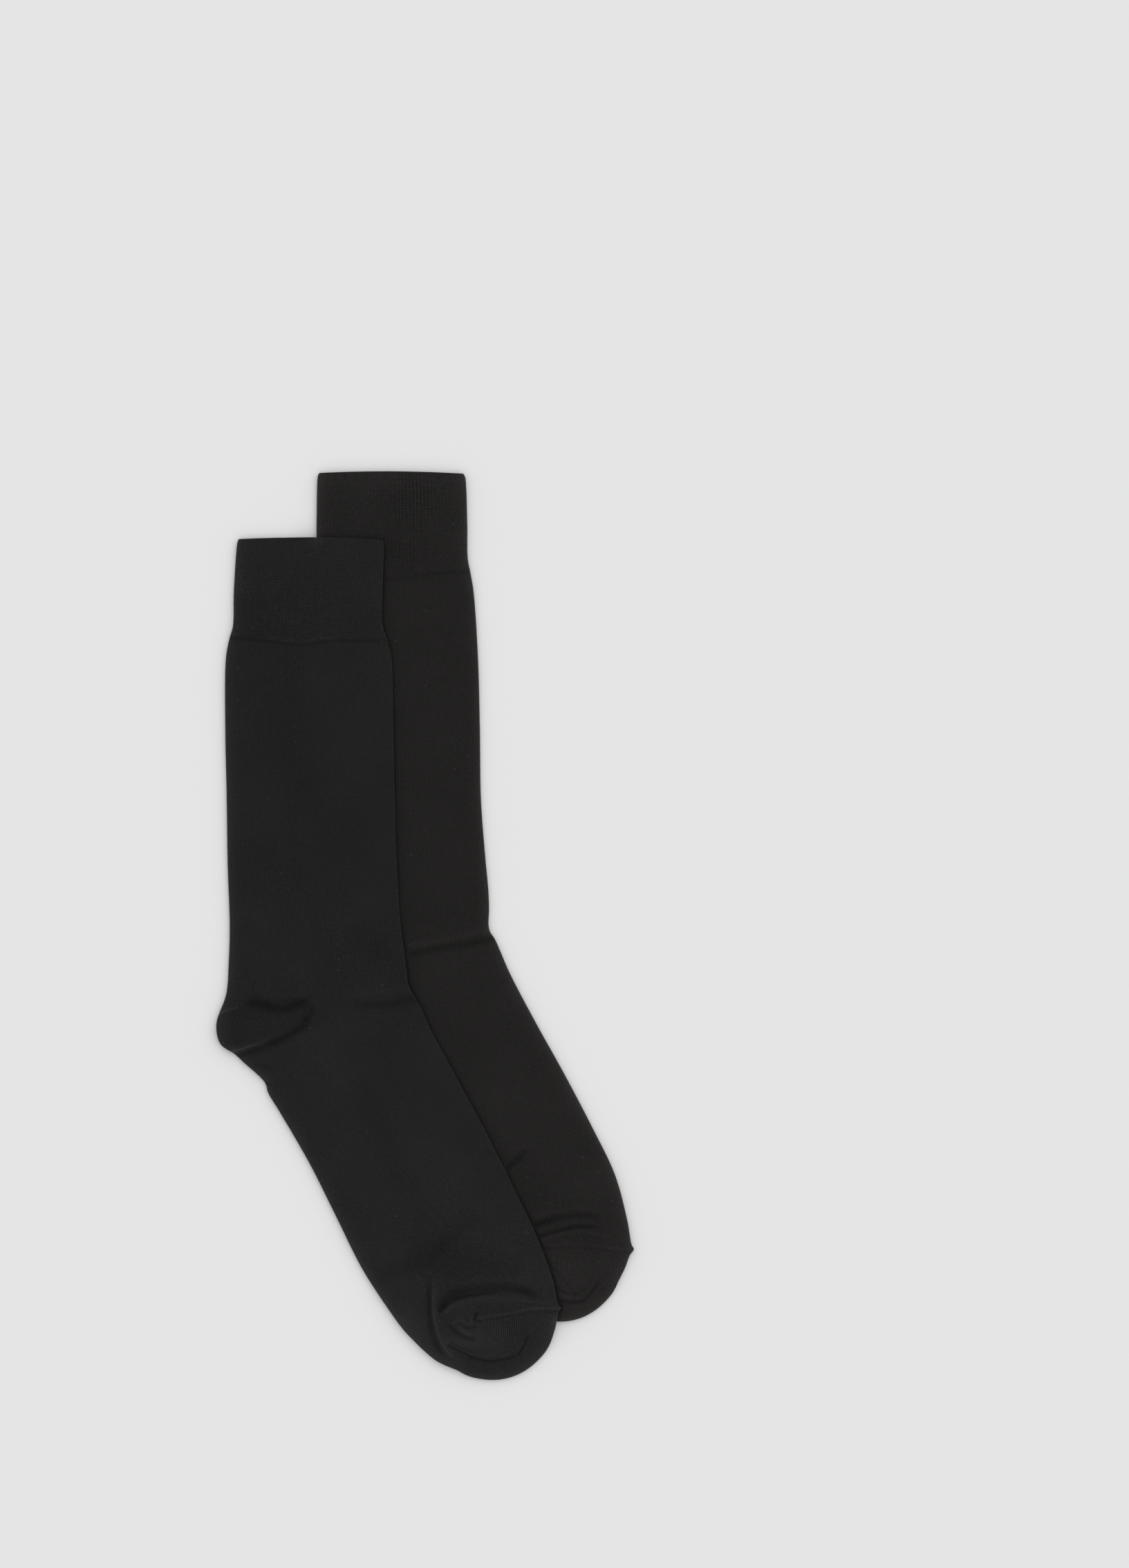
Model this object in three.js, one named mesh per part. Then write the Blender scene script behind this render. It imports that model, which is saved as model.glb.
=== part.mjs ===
// A pair of plain black dress socks, laid flat on their sides, one half over the other.
// Units are millimetres and +Z is up. The pair lies on the plane z = 0 with its cuffs towards +Y.
// Each sock is one knitted wall: a flattened tube, open at the cuff and closed at the toe.

import * as THREE from 'three';

// Thickness of the cloth and how the layers lie
const WALL = 1.2;
const HOLLOW = 0.4;
const SOCK_GAP = 0.3;
const CUFF_RISE = 0.3;
const SOCK_HEIGHT = 2 * WALL + HOLLOW;
const LAP_HEIGHT = SOCK_HEIGHT + CUFF_RISE + SOCK_GAP;

// Run over which the upper sock climbs from the floor onto the lower one
const LAP_RUN = 18;
const LAP_START = 0.6;

// Mesh counts: segments over one face of a sock, segments in each rounded edge
const FACE_SEGMENTS = 20;
const EDGE_SEGMENTS = 2;
const AROUND = 2 * FACE_SEGMENTS;
const INNER_STEP = 2;
const FOLD_SEGMENTS = 10;

// The toe's rounded end: how far each closing ring has turned over the edge, in degrees
const TOE_TURNS = [35, 60, 80];
const TOE_TRIM = 0.7;

// Fullness of a bowed section: 2 is a parabola, and more is squarer
const BOW_POWER = 2.3;

// Sections from the cuff to the toe. back and instep are the two ends of a section in plan,
// bow is how far its middle stands towards the toe, rise is extra height on the upper face,
// and rings is the number of rings from this section to the next.
const OVER_SECTIONS = [
  { at: 'cuff rim', back: [-107.8, 222.6], instep: [-23.6, 222.0], bow: -1.2, rise: CUFF_RISE, rings: 2 },
  { at: 'cuff middle', back: [-110.2, 194.0], instep: [-24.2, 194.0], bow: 0, rise: CUFF_RISE, rings: 2 },
  { at: 'cuff neck', back: [-110.8, 172.8], instep: [-24.2, 173.6], bow: 0, rise: CUFF_RISE, rings: 2 },
  { at: 'cuff line', back: [-112.8, 165.6], instep: [-21.8, 165.6], bow: 0, rise: 0.1, rings: 2 },
  { at: 'leg top', back: [-114.8, 154.4], instep: [-19.2, 155.2], bow: 0, rise: 0, rings: 2 },
  { at: 'leg upper', back: [-115.2, 115.2], instep: [-18.0, 115.2], bow: 0, rise: 0, rings: 2 },
  { at: 'leg calf', back: [-114.4, 75.2], instep: [-17.2, 75.2], bow: 0, rise: 0, rings: 2 },
  { at: 'leg lower', back: [-113.8, 35.2], instep: [-16.0, 36.0], bow: 0, rise: 0, rings: 2 },
  { at: 'ankle top', back: [-112.6, -0.8], instep: [-13.8, 1.2], bow: 0, rise: 0, rings: 2 },
  { at: 'ankle', back: [-113.2, -21.6], instep: [-11.6, -16.0], bow: 0, rise: 0.1, rings: 3 },
  { at: 'heel top', back: [-114.6, -39.6], instep: [-10.2, -26.4], bow: 0, rise: 0.3, rings: 4 },
  { at: 'heel out', back: [-120.4, -57.6], instep: [-9.6, -32.4], bow: 0, rise: 0.3, rings: 3 },
  { at: 'heel turn', back: [-118.0, -68.8], instep: [-8.0, -37.2], bow: 0, rise: 0.3, rings: 3 },
  { at: 'heel lip', back: [-106.0, -78.8], instep: [-5.2, -42.0], bow: 0, rise: 0.1, rings: 3 },
  { at: 'sole notch', back: [-92.8, -91.4], instep: [-1.6, -48.4], bow: 0, rise: 0, rings: 2 },
  { at: 'arch', back: [-84.0, -107.6], instep: [4.8, -62.4], bow: 0, rise: 0, rings: 2 },
  { at: 'foot middle', back: [-67.0, -137.6], instep: [20.8, -92.0], bow: 0, rise: 0, rings: 2 },
  { at: 'ball', back: [-52.2, -167.8], instep: [36.8, -122.0], bow: 0, rise: 0, rings: 3 },
  { at: 'toes start', back: [-36.8, -198.8], instep: [52.0, -152.8], bow: 1, rise: 0, rings: 4 },
  { at: 'toe top', back: [-23.2, -220.6], instep: [64.8, -179.6], bow: 3, rise: 0.1, rings: 4 },
  { at: 'toe side', back: [-12.0, -235.0], instep: [74.4, -205.6], bow: 7, rise: 0.2, rings: 4 },
  { at: 'toe corner', back: [-3.4, -243.8], instep: [78.0, -220.4], bow: 10.5, rise: 0.2, rings: 3 },
  { at: 'toe tip', back: [7.2, -251.6], instep: [74.2, -240.0], bow: 15.6, rise: 0.1, rings: 1 },
];

const UNDER_SECTIONS = [
  { at: 'cuff rim', back: [-61.2, 260.8], instep: [22.4, 260.4], bow: -1.2, rise: CUFF_RISE, rings: 2 },
  { at: 'cuff middle', back: [-62.4, 232.0], instep: [24.4, 232.0], bow: 0, rise: CUFF_RISE, rings: 2 },
  { at: 'cuff neck', back: [-62.6, 211.4], instep: [24.6, 212.0], bow: 0, rise: CUFF_RISE, rings: 2 },
  { at: 'cuff line', back: [-64.0, 204.2], instep: [26.4, 203.0], bow: 0, rise: 0.1, rings: 2 },
  { at: 'leg top', back: [-65.7, 193.1], instep: [28.2, 192.3], bow: 0, rise: 0, rings: 2 },
  { at: 'leg upper', back: [-66.7, 153.9], instep: [30.6, 152.3], bow: 0, rise: 0, rings: 2 },
  { at: 'leg calf', back: [-66.4, 113.9], instep: [31.8, 112.3], bow: 0, rise: 0, rings: 2 },
  { at: 'leg lower', back: [-66.7, 73.9], instep: [32.2, 73.1], bow: 0, rise: 0, rings: 2 },
  { at: 'ankle top', back: [-65.9, 37.9], instep: [35.0, 38.4], bow: 0, rise: 0, rings: 2 },
  { at: 'ankle', back: [-67.0, 17.1], instep: [36.6, 21.2], bow: 0, rise: 0, rings: 2 },
  { at: 'heel top', back: [-68.9, -0.9], instep: [37.4, 10.6], bow: 0, rise: 0, rings: 3 },
  { at: 'heel out', back: [-74.8, -18.8], instep: [36.6, 3.0], bow: 0, rise: 0, rings: 3 },
  { at: 'heel turn', back: [-71.8, -29.7], instep: [38.0, -1.2], bow: 0, rise: 0, rings: 3 },
  { at: 'heel lip', back: [-60.4, -39.4], instep: [40.2, -6.2], bow: 0, rise: 0, rings: 3 },
  { at: 'sole notch', back: [-47.8, -52.9], instep: [43.1, -13.4], bow: 0, rise: 0, rings: 2 },
  { at: 'arch', back: [-38.9, -69.4], instep: [48.8, -27.0], bow: 0, rise: 0, rings: 2 },
  { at: 'foot middle', back: [-22.6, -99.7], instep: [64.2, -56.8], bow: 0, rise: 0, rings: 2 },
  { at: 'ball', back: [-7.9, -129.9], instep: [80.6, -86.4], bow: 0, rise: 0, rings: 3 },
  { at: 'toes start', back: [6.4, -161.6], instep: [96.4, -116.4], bow: 1, rise: 0, rings: 4 },
  { at: 'toe top', back: [18.6, -184.4], instep: [109.8, -144.5], bow: 3, rise: 0.1, rings: 4 },
  { at: 'toe side', back: [28.0, -200.4], instep: [117.2, -171.0], bow: 7, rise: 0.1, rings: 4 },
  { at: 'toe corner', back: [35.0, -210.0], instep: [120.2, -187.6], bow: 10.5, rise: 0.1, rings: 3 },
  { at: 'toe tip', back: [44.0, -218.6], instep: [113.4, -203.8], bow: 15.8, rise: 0, rings: 1 },
];

// The largest folds of each upper face, as arcs in plan from one end to the other.
// rise is the height at the middle (below zero for a trough), half is half the fold's width.
const OVER_FOLDS = [
  { fold: 'heel pouch', from: [-115, -60], over: [-93, -54], to: [-71, -49], rise: 1.1, half: 9 },
  { fold: 'pouch mouth', from: [-99, -44], over: [-86, -49], to: [-67, -46], rise: -0.3, half: 3.5 },
  { fold: 'heel lip', from: [-112, -73], over: [-98, -68], to: [-86, -64], rise: 1, half: 3.2 },
  { fold: 'under the lip', from: [-105, -77], over: [-86, -68], to: [-66, -50], rise: -0.3, half: 3.5 },
  { fold: 'instep ridge', from: [-46, -42], over: [-28, -40], to: [-10, -37], rise: 0.8, half: 3 },
  { fold: 'instep trough', from: [-42, -46], over: [-24, -46], to: [-7, -44], rise: -0.3, half: 3.5 },
  { fold: 'ball trough', from: [-30, -204], over: [10, -196], to: [35, -167], rise: -0.3, half: 6 },
  { fold: 'toe ridge', from: [6, -205], over: [2, -225], to: [17, -250], rise: 1, half: 3 },
  { fold: 'toe crease', from: [6, -223], over: [23, -206], to: [64, -216], rise: -0.3, half: 3 },
  { fold: 'toe seam', from: [33, -226], over: [52, -219], to: [79, -221], rise: 0.9, half: 2.4 },
  { fold: 'toe swirl', from: [16, -228], over: [18, -239], to: [32, -235], rise: 0.7, half: 2.6 },
  { fold: 'toe rim', from: [10, -242], over: [36, -263], to: [65, -234], rise: -0.3, half: 3 },
];

const UNDER_FOLDS = [
  { fold: 'ankle ridge', from: [-6, -10], over: [15, -7], to: [37, 0], rise: 0.9, half: 3 },
  { fold: 'ankle trough', from: [-1, -14], over: [18, -13], to: [38, -5], rise: -0.3, half: 3.5 },
  { fold: 'ball crease', from: [46, -142], over: [54, -138], to: [60, -130], rise: -0.3, half: 3 },
  { fold: 'toe crease', from: [65, -175], over: [80, -167], to: [98, -169], rise: -0.3, half: 3 },
  { fold: 'toe ridge', from: [67, -178], over: [82, -170], to: [99, -172], rise: 0.7, half: 2.6 },
  { fold: 'toe fold', from: [71, -182], over: [87, -173], to: [109, -184], rise: -0.3, half: 2.6 },
  { fold: 'toe seam', from: [74, -187], over: [94, -181], to: [120, -188], rise: 0.9, half: 2.4 },
  { fold: 'toe rim', from: [79, -217], over: [93, -221], to: [100, -206], rise: -0.3, half: 3 },
];

const CLOTH = { color: 0x21211f, roughness: 0.95, metalness: 0 };

// A smooth step from 0 to 1
function ease(share) {
  const s = THREE.MathUtils.clamp(share, 0, 1);
  return s * s * (3 - 2 * s);
}

// A smooth curve through one end of every section
function edgeCurve(sections, end) {
  const points = sections.map((s) => new THREE.Vector3(s[end][0], s[end][1], 0));
  return new THREE.CatmullRomCurve3(points, false, 'centripetal');
}

// Rings of one sock in plan: the two ends, the bow and the rise of each
function planRings(sections) {
  const back = edgeCurve(sections, 'back');
  const instep = edgeCurve(sections, 'instep');
  const last = sections.length - 1;
  const rings = [];
  for (let row = 0; row <= last; row += 1) {
    const here = sections[row];
    const next = sections[Math.min(row + 1, last)];
    const count = row === last ? 1 : here.rings;
    for (let step = 0; step < count; step += 1) {
      const share = step / count;
      const t = (row + share) / last;
      rings.push({
        back: back.getPoint(t),
        instep: instep.getPoint(t),
        bow: THREE.MathUtils.lerp(here.bow, next.bow, share),
        rise: THREE.MathUtils.lerp(here.rise, next.rise, share),
      });
    }
  }
  return rings;
}

// A point of a ring in plan, at a distance from its back end along the chord
function planPoint(ring, along, push) {
  const chord = ring.instep.clone().sub(ring.back);
  const width = chord.length();
  chord.normalize();
  const toeward = new THREE.Vector3(chord.y, -chord.x, 0);
  const u = (2 * along) / width - 1;
  const point = ring.back.clone().addScaledVector(chord, along);
  return point.addScaledVector(toeward, ring.bow * (1 - Math.abs(u) ** BOW_POWER) + push);
}

// Where each point of a flattened section lies: its distance from the back end, and its
// height from -1 on the lower face to 1 on the upper one, round at both edges
function sectionPoint(index, width, inset, radius) {
  const side = index <= FACE_SEGMENTS ? index : AROUND - index;
  const sign = index <= FACE_SEGMENTS ? 1 : -1;
  const fromEnd = Math.min(side, FACE_SEGMENTS - side);
  const flatSegments = FACE_SEGMENTS - 2 * EDGE_SEGMENTS;
  let along = inset + radius;
  let height = 1;
  if (fromEnd < EDGE_SEGMENTS) {
    const turn = (Math.PI / 2) * (fromEnd / EDGE_SEGMENTS);
    along = inset + radius * (1 - Math.cos(turn));
    height = Math.sin(turn);
    if (side > EDGE_SEGMENTS) {
      along = width - along;
    }
  } else {
    const share = (side - EDGE_SEGMENTS) / flatSegments;
    along += share * (width - 2 * along);
  }
  return { along, height: sign * height };
}

// The plan outline of a sock, as a closed ring of points
function planOutline(rings) {
  const tip = rings[rings.length - 1];
  const width = tip.back.distanceTo(tip.instep);
  const toe = [];
  for (let k = 1; k < FACE_SEGMENTS; k += 1) {
    toe.push(planPoint(tip, (width * k) / FACE_SEGMENTS, SOCK_HEIGHT / 2));
  }
  const insteps = rings.map((ring) => ring.instep).reverse();
  return [...rings.map((ring) => ring.back), ...toe, ...insteps];
}

// Distance in plan from a point to a run of points joined by straight lines
function distanceToRun(point, run, closed) {
  const line = new THREE.Line3();
  const nearest = new THREE.Vector3();
  const count = closed ? run.length : run.length - 1;
  let best = Infinity;
  for (let k = 0; k < count; k += 1) {
    line.set(run[k], run[(k + 1) % run.length]);
    line.closestPointToPoint(point, true, nearest);
    best = Math.min(best, nearest.distanceTo(point));
  }
  return best;
}

// Whether a point in plan lies inside a closed outline, by counting crossings
function isInside(point, outline) {
  let inside = false;
  outline.forEach((a, k) => {
    const b = outline[(k + 1) % outline.length];
    const spans = a.y > point.y !== b.y > point.y;
    if (spans && point.x < a.x + ((point.y - a.y) * (b.x - a.x)) / (b.y - a.y)) {
      inside = !inside;
    }
  });
  return inside;
}

// Height of the upper sock's lower face: full on the lower sock, down to the floor beside it
function lapHeight(point, outline) {
  if (isInside(point, outline)) {
    return LAP_HEIGHT;
  }
  const gone = distanceToRun(point, outline, true) - LAP_START;
  return LAP_HEIGHT * (1 - ease(gone / LAP_RUN));
}

// Folds as runs of points along their arcs, with their sizes
function foldRuns(folds) {
  return folds.map((row) => {
    const [from, over, to] = [row.from, row.over, row.to].map((p) => new THREE.Vector2(...p));
    const arc = new THREE.QuadraticBezierCurve(from, over, to);
    const run = arc.getPoints(FOLD_SEGMENTS).map((p) => new THREE.Vector3(p.x, p.y, 0));
    return { run, rise: row.rise, half: row.half };
  });
}

// Height that the folds add at a point in plan: each one fades with the square of the distance
function foldHeight(point, runs) {
  return runs.reduce((height, fold) => {
    const share = distanceToRun(point, fold.run, false) / fold.half;
    return height + fold.rise * Math.exp(-2 * share * share);
  }, 0);
}

// One ring of a wall in space
function wallRing(ring, wall, floorHeight, runs) {
  const width = ring.back.distanceTo(ring.instep);
  const points = [];
  for (let index = 0; index < AROUND; index += 1) {
    const trimmed = wall.inset + (ring.trim ?? 0);
    const { along, height } = sectionPoint(index, width, trimmed, wall.radius);
    const point = planPoint(ring, along, ring.push ?? 0);
    const lift = height * (ring.lift ?? 1);
    const raised = lift > 0 ? lift * (ring.rise + foldHeight(point, runs)) : 0;
    point.z = floorHeight(point) + SOCK_HEIGHT / 2 + wall.radius * lift;
    if (wall.relief) {
      point.z += raised;
    }
    points.push(point);
  }
  return points;
}

// The faces between neighbouring rings; a turned wall faces the hollow
function joinRings(triangles, rings, turned) {
  for (let r = 0; r + 1 < rings.length; r += 1) {
    for (let j = 0; j < AROUND; j += 1) {
      const k = (j + 1) % AROUND;
      const [a, b, c, d] = [rings[r][j], rings[r][k], rings[r + 1][k], rings[r + 1][j]];
      triangles.push(...(turned ? [a, b, c, a, c, d] : [a, c, b, a, d, c]));
    }
  }
}

// The last ring closed on itself, upper points to the lower ones under them
function closeToe(triangles, ring, turned) {
  const below = (j) => ring[(AROUND - j) % AROUND];
  for (let j = 0; j < FACE_SEGMENTS; j += 1) {
    const [a, b, c, d] = [ring[j], ring[j + 1], below(j + 1), below(j)];
    if (j + 1 < FACE_SEGMENTS) {
      triangles.push(...(turned ? [a, b, c] : [a, c, b]));
    }
    if (j > 0) {
      triangles.push(...(turned ? [a, c, d] : [a, d, c]));
    }
  }
}

// The cuff's edge, between the outer and the inner wall
function joinRim(triangles, outer, inner) {
  for (let j = 0; j < AROUND; j += 1) {
    const k = (j + 1) % AROUND;
    triangles.push(outer[j], outer[k], inner[k], outer[j], inner[k], inner[j]);
  }
}

// A whole sock: an outer wall with its relief, a plain inner one, and the rim that joins them
function makeSock(name, sections, folds, floorHeight) {
  const outerWall = { inset: 0, radius: SOCK_HEIGHT / 2, relief: true };
  const innerWall = { inset: WALL, radius: HOLLOW / 2, relief: false };
  const runs = foldRuns(folds);
  const plan = planRings(sections);
  const tip = plan[plan.length - 1];
  const closing = TOE_TURNS.map((degrees, k) => {
    const turn = THREE.MathUtils.degToRad(degrees);
    const push = outerWall.radius * Math.sin(turn);
    return { ...tip, push, lift: Math.cos(turn), trim: TOE_TRIM * (k + 1) };
  });
  const outer = [...plan, ...closing].map((r) => wallRing(r, outerWall, floorHeight, runs));
  const innerPlan = plan.slice(0, -1).filter((_, k) => k % INNER_STEP === 0);
  const inner = innerPlan.map((r) => wallRing(r, innerWall, floorHeight, runs));
  const triangles = [];
  joinRings(triangles, outer, false);
  closeToe(triangles, outer[outer.length - 1], false);
  joinRings(triangles, inner, true);
  closeToe(triangles, inner[inner.length - 1], true);
  joinRim(triangles, outer[0], inner[0]);
  const geometry = new THREE.BufferGeometry().setFromPoints(triangles);
  geometry.computeVertexNormals();
  const mesh = new THREE.Mesh(geometry, new THREE.MeshStandardMaterial(CLOTH));
  mesh.name = name;
  return mesh;
}

const underOutline = planOutline(planRings(UNDER_SECTIONS));
const under = makeSock('sock_under', UNDER_SECTIONS, UNDER_FOLDS, () => 0);
const over = makeSock('sock_over', OVER_SECTIONS, OVER_FOLDS, (p) => lapHeight(p, underOutline));

// The origin is the middle of the pair in plan, on the floor
const pair = new THREE.Group();
pair.add(under, over);
const middle = new THREE.Box3().setFromObject(pair).getCenter(new THREE.Vector3());
pair.position.set(-middle.x, -middle.y, 0);

export default pair;
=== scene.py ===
"""A pair of plain black dress socks, laid flat on their sides, one half over the other.

The plan of each sock is given in millimetres in a layout frame whose X runs from the heels to the
insteps and whose Y runs from the toes to the cuffs. Meshes are in metres in the part's own frame.
"""

import logging
import math
from dataclasses import dataclass, field, fields
from enum import Enum
from typing import Any

import bpy
import numpy as np
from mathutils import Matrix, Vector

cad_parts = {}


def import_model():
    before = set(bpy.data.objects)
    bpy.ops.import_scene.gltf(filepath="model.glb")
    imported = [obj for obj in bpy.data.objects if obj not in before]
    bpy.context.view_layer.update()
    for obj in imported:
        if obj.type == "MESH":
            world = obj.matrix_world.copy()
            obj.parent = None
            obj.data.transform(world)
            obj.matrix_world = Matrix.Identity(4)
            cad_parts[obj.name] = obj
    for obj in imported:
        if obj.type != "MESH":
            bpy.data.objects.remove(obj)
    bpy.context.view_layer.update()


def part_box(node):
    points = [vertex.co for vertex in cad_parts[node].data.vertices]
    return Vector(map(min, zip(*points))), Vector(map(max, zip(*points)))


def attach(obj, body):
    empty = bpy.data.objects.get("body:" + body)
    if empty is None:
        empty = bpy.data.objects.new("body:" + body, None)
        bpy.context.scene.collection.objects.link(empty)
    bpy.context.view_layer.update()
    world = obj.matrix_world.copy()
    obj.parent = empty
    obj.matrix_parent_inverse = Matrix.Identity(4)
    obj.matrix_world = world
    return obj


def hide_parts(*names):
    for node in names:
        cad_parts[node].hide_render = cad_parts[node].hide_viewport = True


log = logging.getLogger("socks")

MM = 0.001
BODY = "root"

# Thickness of the cloth and how the layers lie, in millimetres
WALL = 1.2
HOLLOW = 0.4
SOCK_GAP = 0.3
CUFF_RISE = 0.3
SOCK_HEIGHT = 2 * WALL + HOLLOW
LAP_HEIGHT = SOCK_HEIGHT + CUFF_RISE + SOCK_GAP
LAP_RUN = 18.0
LAP_START = 0.6

# The power that a section's bow falls off with, from its middle to its ends
BOW_POWER = 2.0

# Mesh counts, and the turns in degrees of the rings that round the cuff's edge and the toe's tip
FACE_COLUMNS = 138
UNDER_COLUMNS = 32
EDGE_COLUMNS = 5
INNER_ROWS = 2
OUTLINE_ROWS = 3
RIM_TURNS = (30.0, 60.0, 90.0, 120.0, 150.0)
TOE_TURNS = (14.0, 28.0, 42.0, 55.0, 66.0, 76.0, 84.0)
CREASE_STEPS = 24
CUFF_LINE_STEPS = 60
CHUNKS = 12

# How far in the toe's rings are trimmed, in millimetres for each degree of their turn
TOE_TRIM = 0.071

# Folds: their limits and the run over which they come back beside the upper sock, in millimetres
LOWEST_FOLD = -0.8
HIGHEST_FOLD = 2.8
COVER_SLOPE = 2.4
# How far from its path a crease counts, in half widths
CREASE_REACH = 2.2

# The cuff's step down to the leg, in millimetres: its width, and its lip's height, place and half width
CUFF_STEP = 1.4
CUFF_LIP = 0.16
CUFF_LIP_AT = 0.4
CUFF_LIP_HALF = 0.9

# Soft waves of lying cloth: height and lengths along X and Y in millimetres, and share of the phase
SOFT_WAVES = (
    (0.060, 6.9, 31.0, 1.0),
    (0.050, -19.0, 8.3, 2.1),
    (0.045, 11.3, 13.7, 0.7),
    (0.030, 4.1, -9.7, 1.3),
)
UNDER_PHASE = 1.7
OVER_PHASE = 0.4

# The knit: wales over one face of a sock, and heights of a course in millimetres
FACE_WALES = 83
COURSE = 0.9
POCKET_WALE = 1.05
CAP_WALE = 1.36
HEEL_WALE = 1.865
HEEL_UPPER_WALE = 2.15
HEEL_WALE_CLOSING = 0.03
HEEL_MIDDLE = 20.0
# Height of a ring of the cuff's rounded edge, in courses
RIM_COURSE = 0.4

# The heel pouch's gore line: its outer end, its tilt in degrees, and how the wales climb from it
GORE_END = (-105.6, -60.8)
GORE_TILT = 19.7
HEEL_BEND = 10
HEEL_CLIMB = 1.41
HEEL_CLIMB_LOSS = 0.0225
HEEL_UPRIGHT = 0.96
HEEL_FALL = 0.95

# The toe pocket: how its top's wales follow and crowd the edge, and the turn of its side's wales
CAP_FOLLOW = 22.0
CAP_CROWD = 2.0
CAP_CROWD_REACH = 9.0
SIDE_TURN = 32

# Painted highlight along the pair's outer edge: how far in it reaches, and how much paler it makes the cloth
EDGE_REACH = 2.2
PAINTED_EDGE_LIGHT = 1.25
# Strength of all painted shade and highlight in the cloth's colour
TONE_STRENGTH = 0.95

# The yarn's noises: scale and share of the broad and fine mottling, of the tint, and of the wander
BROAD_SCALE, BROAD_SHARE = 26.0, 0.8
FINE_SCALE, FINE_SHARE = 1150.0, 1.6
TINT_SCALE, TINT_FROM, TINT_TO = 240.0, 0.36, 0.64
WANDER_SCALE = 0.09
# Run along Y, in metres, over which the cloth grows lighter towards the toe
TOE_LIGHTENING_RUN = -0.25
# Least factor of the wales' opening on the painted groove shade, and least light that shade leaves
LEAST_OPENING = 0.15
LEAST_LIGHT = 0.08

# Painted shadow on the lower sock along the upper one's edge: its reach and its least and added darkness
SHADE_REACH = 1.35
SHADE_LEAST = 0.36
SHADE_ADDED = 0.6

Point = tuple[float, float]


class Patch(Enum):
    """Stretches of knitting, each with its own run of wales."""

    CUFF = 0
    PLAIN = 1
    HEEL = 2
    TOE_CAP = 3
    TOE_SIDE = 4
    TOE_BAND = 5


@dataclass(frozen=True)
class Section:
    """One row of a sock's plan: its two ends, its bow, its extra rise and the rows to the next one.

    The spread is how much wider than even the wales lie in the middle, which is taken from the sides.
    """

    at: str
    back: Point
    instep: Point
    bow: float
    rise: float
    rows: int
    spread: float = 0.0


@dataclass(frozen=True)
class Crease:
    """A fold: a path, its height, its half width on each side, its ends' fades and its tone.

    The tone is painted highlight (above zero) or painted shade (below zero) in the knit's colour
    along the fold; a crease with no rise is painted light or shade alone.
    """

    name: str
    path: tuple[Point, ...]
    rise: float
    left: float
    right: float
    fade: tuple[float, float]
    tone: float = 0.0


@dataclass(frozen=True)
class Opening:
    """A round area where the wales stand open and their grooves get deeper painted shade, or closed below
    zero.
    """

    place: Point
    reach: float
    amount: float


@dataclass(frozen=True)
class Area:
    """A patch of the upper face with its own knitting, by its outline in plan."""

    patch: Patch
    outline: tuple[Point, ...]


OVER_SECTIONS = (
    Section("cuff rim", (-107.7, 222.6), (-24.1, 222.0), -1.2, 0, 3),
    Section("cuff hem", (-108.2, 221.2), (-23.6, 220.6), -1.1, 0, 13),
    Section("cuff middle", (-110.2, 194.0), (-24.2, 194.0), 0, 0, 14),
    Section("cuff neck", (-110.8, 172.8), (-24.2, 173.6), 0, 0, 10),
    Section("cuff line", (-112.8, 165.6), (-21.8, 165.6), 0, 0, 8),
    Section("leg top", (-114.8, 154.4), (-19.2, 155.2), 0, 0, 14),
    Section("leg upper", (-115.2, 115.2), (-18.0, 115.2), 0, 0, 14),
    Section("leg calf", (-114.4, 75.2), (-17.2, 75.2), 0, 0, 14, 0.04),
    Section("leg lower", (-113.8, 35.2), (-16.0, 36.0), 0, 0, 14, 0.08),
    Section("ankle top", (-112.6, -0.8), (-13.8, 1.2), 0, 0, 14, 0.06),
    Section("ankle", (-113.2, -21.6), (-11.6, -16.0), 0, 0.1, 18),
    Section("heel top", (-114.6, -39.6), (-10.2, -26.4), 0, 0.4, 26),
    Section("heel out", (-120.4, -57.6), (-9.6, -32.4), 0, 0.5, 18),
    Section("heel turn", (-118.0, -68.8), (-8.0, -37.2), 0, 0.5, 18),
    Section("pouch lip", (-109.6, -74.8), (-6.8, -39.4), 0, 0.4, 14),
    Section("heel lip", (-104.4, -79.6), (-5.2, -42.0), 0, 0.2, 14),
    Section("sole notch", (-92.2, -91.2), (-1.6, -48.4), 0, 0, 8),
    Section("notch foot", (-90.4, -97.0), (0.6, -53.4), 0, 0, 8),
    Section("arch", (-84.0, -107.6), (4.8, -62.4), 0, 0, 14),
    Section("foot middle", (-66.7, -137.4), (20.8, -92.0), 0, 0, 16),
    Section("ball", (-51.6, -167.5), (36.8, -122.0), 0, 0, 26),
    Section("toes start", (-36.2, -198.4), (52.0, -152.8), 1, 0, 36, 0.1),
    Section("toe top", (-22.3, -220.1), (64.8, -179.6), 3, 0.4, 44, 0.15),
    Section("toe side", (-11.9, -234.4), (74.4, -205.6), 7, 0.7, 26, 0.15),
    Section("seam shoulder", (-4.8, -241.8), (77.3, -218.8), 9.4, 0.6, 5, 0.15),
    Section("seam end", (-3.6, -243.0), (78.9, -220.8), 9.8, 0.6, 6, 0.15),
    Section("seam foot", (-1.8, -244.8), (77.6, -223.4), 10.2, 0.5, 16, 0.15),
    Section("toe corner", (7.2, -252.2), (75.9, -232.0), 11.4, 0.3, 18),
    Section("toe tip", (19.0, -257.4), (73.6, -239.8), 12.0, 0.1, 1),
)

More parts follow.
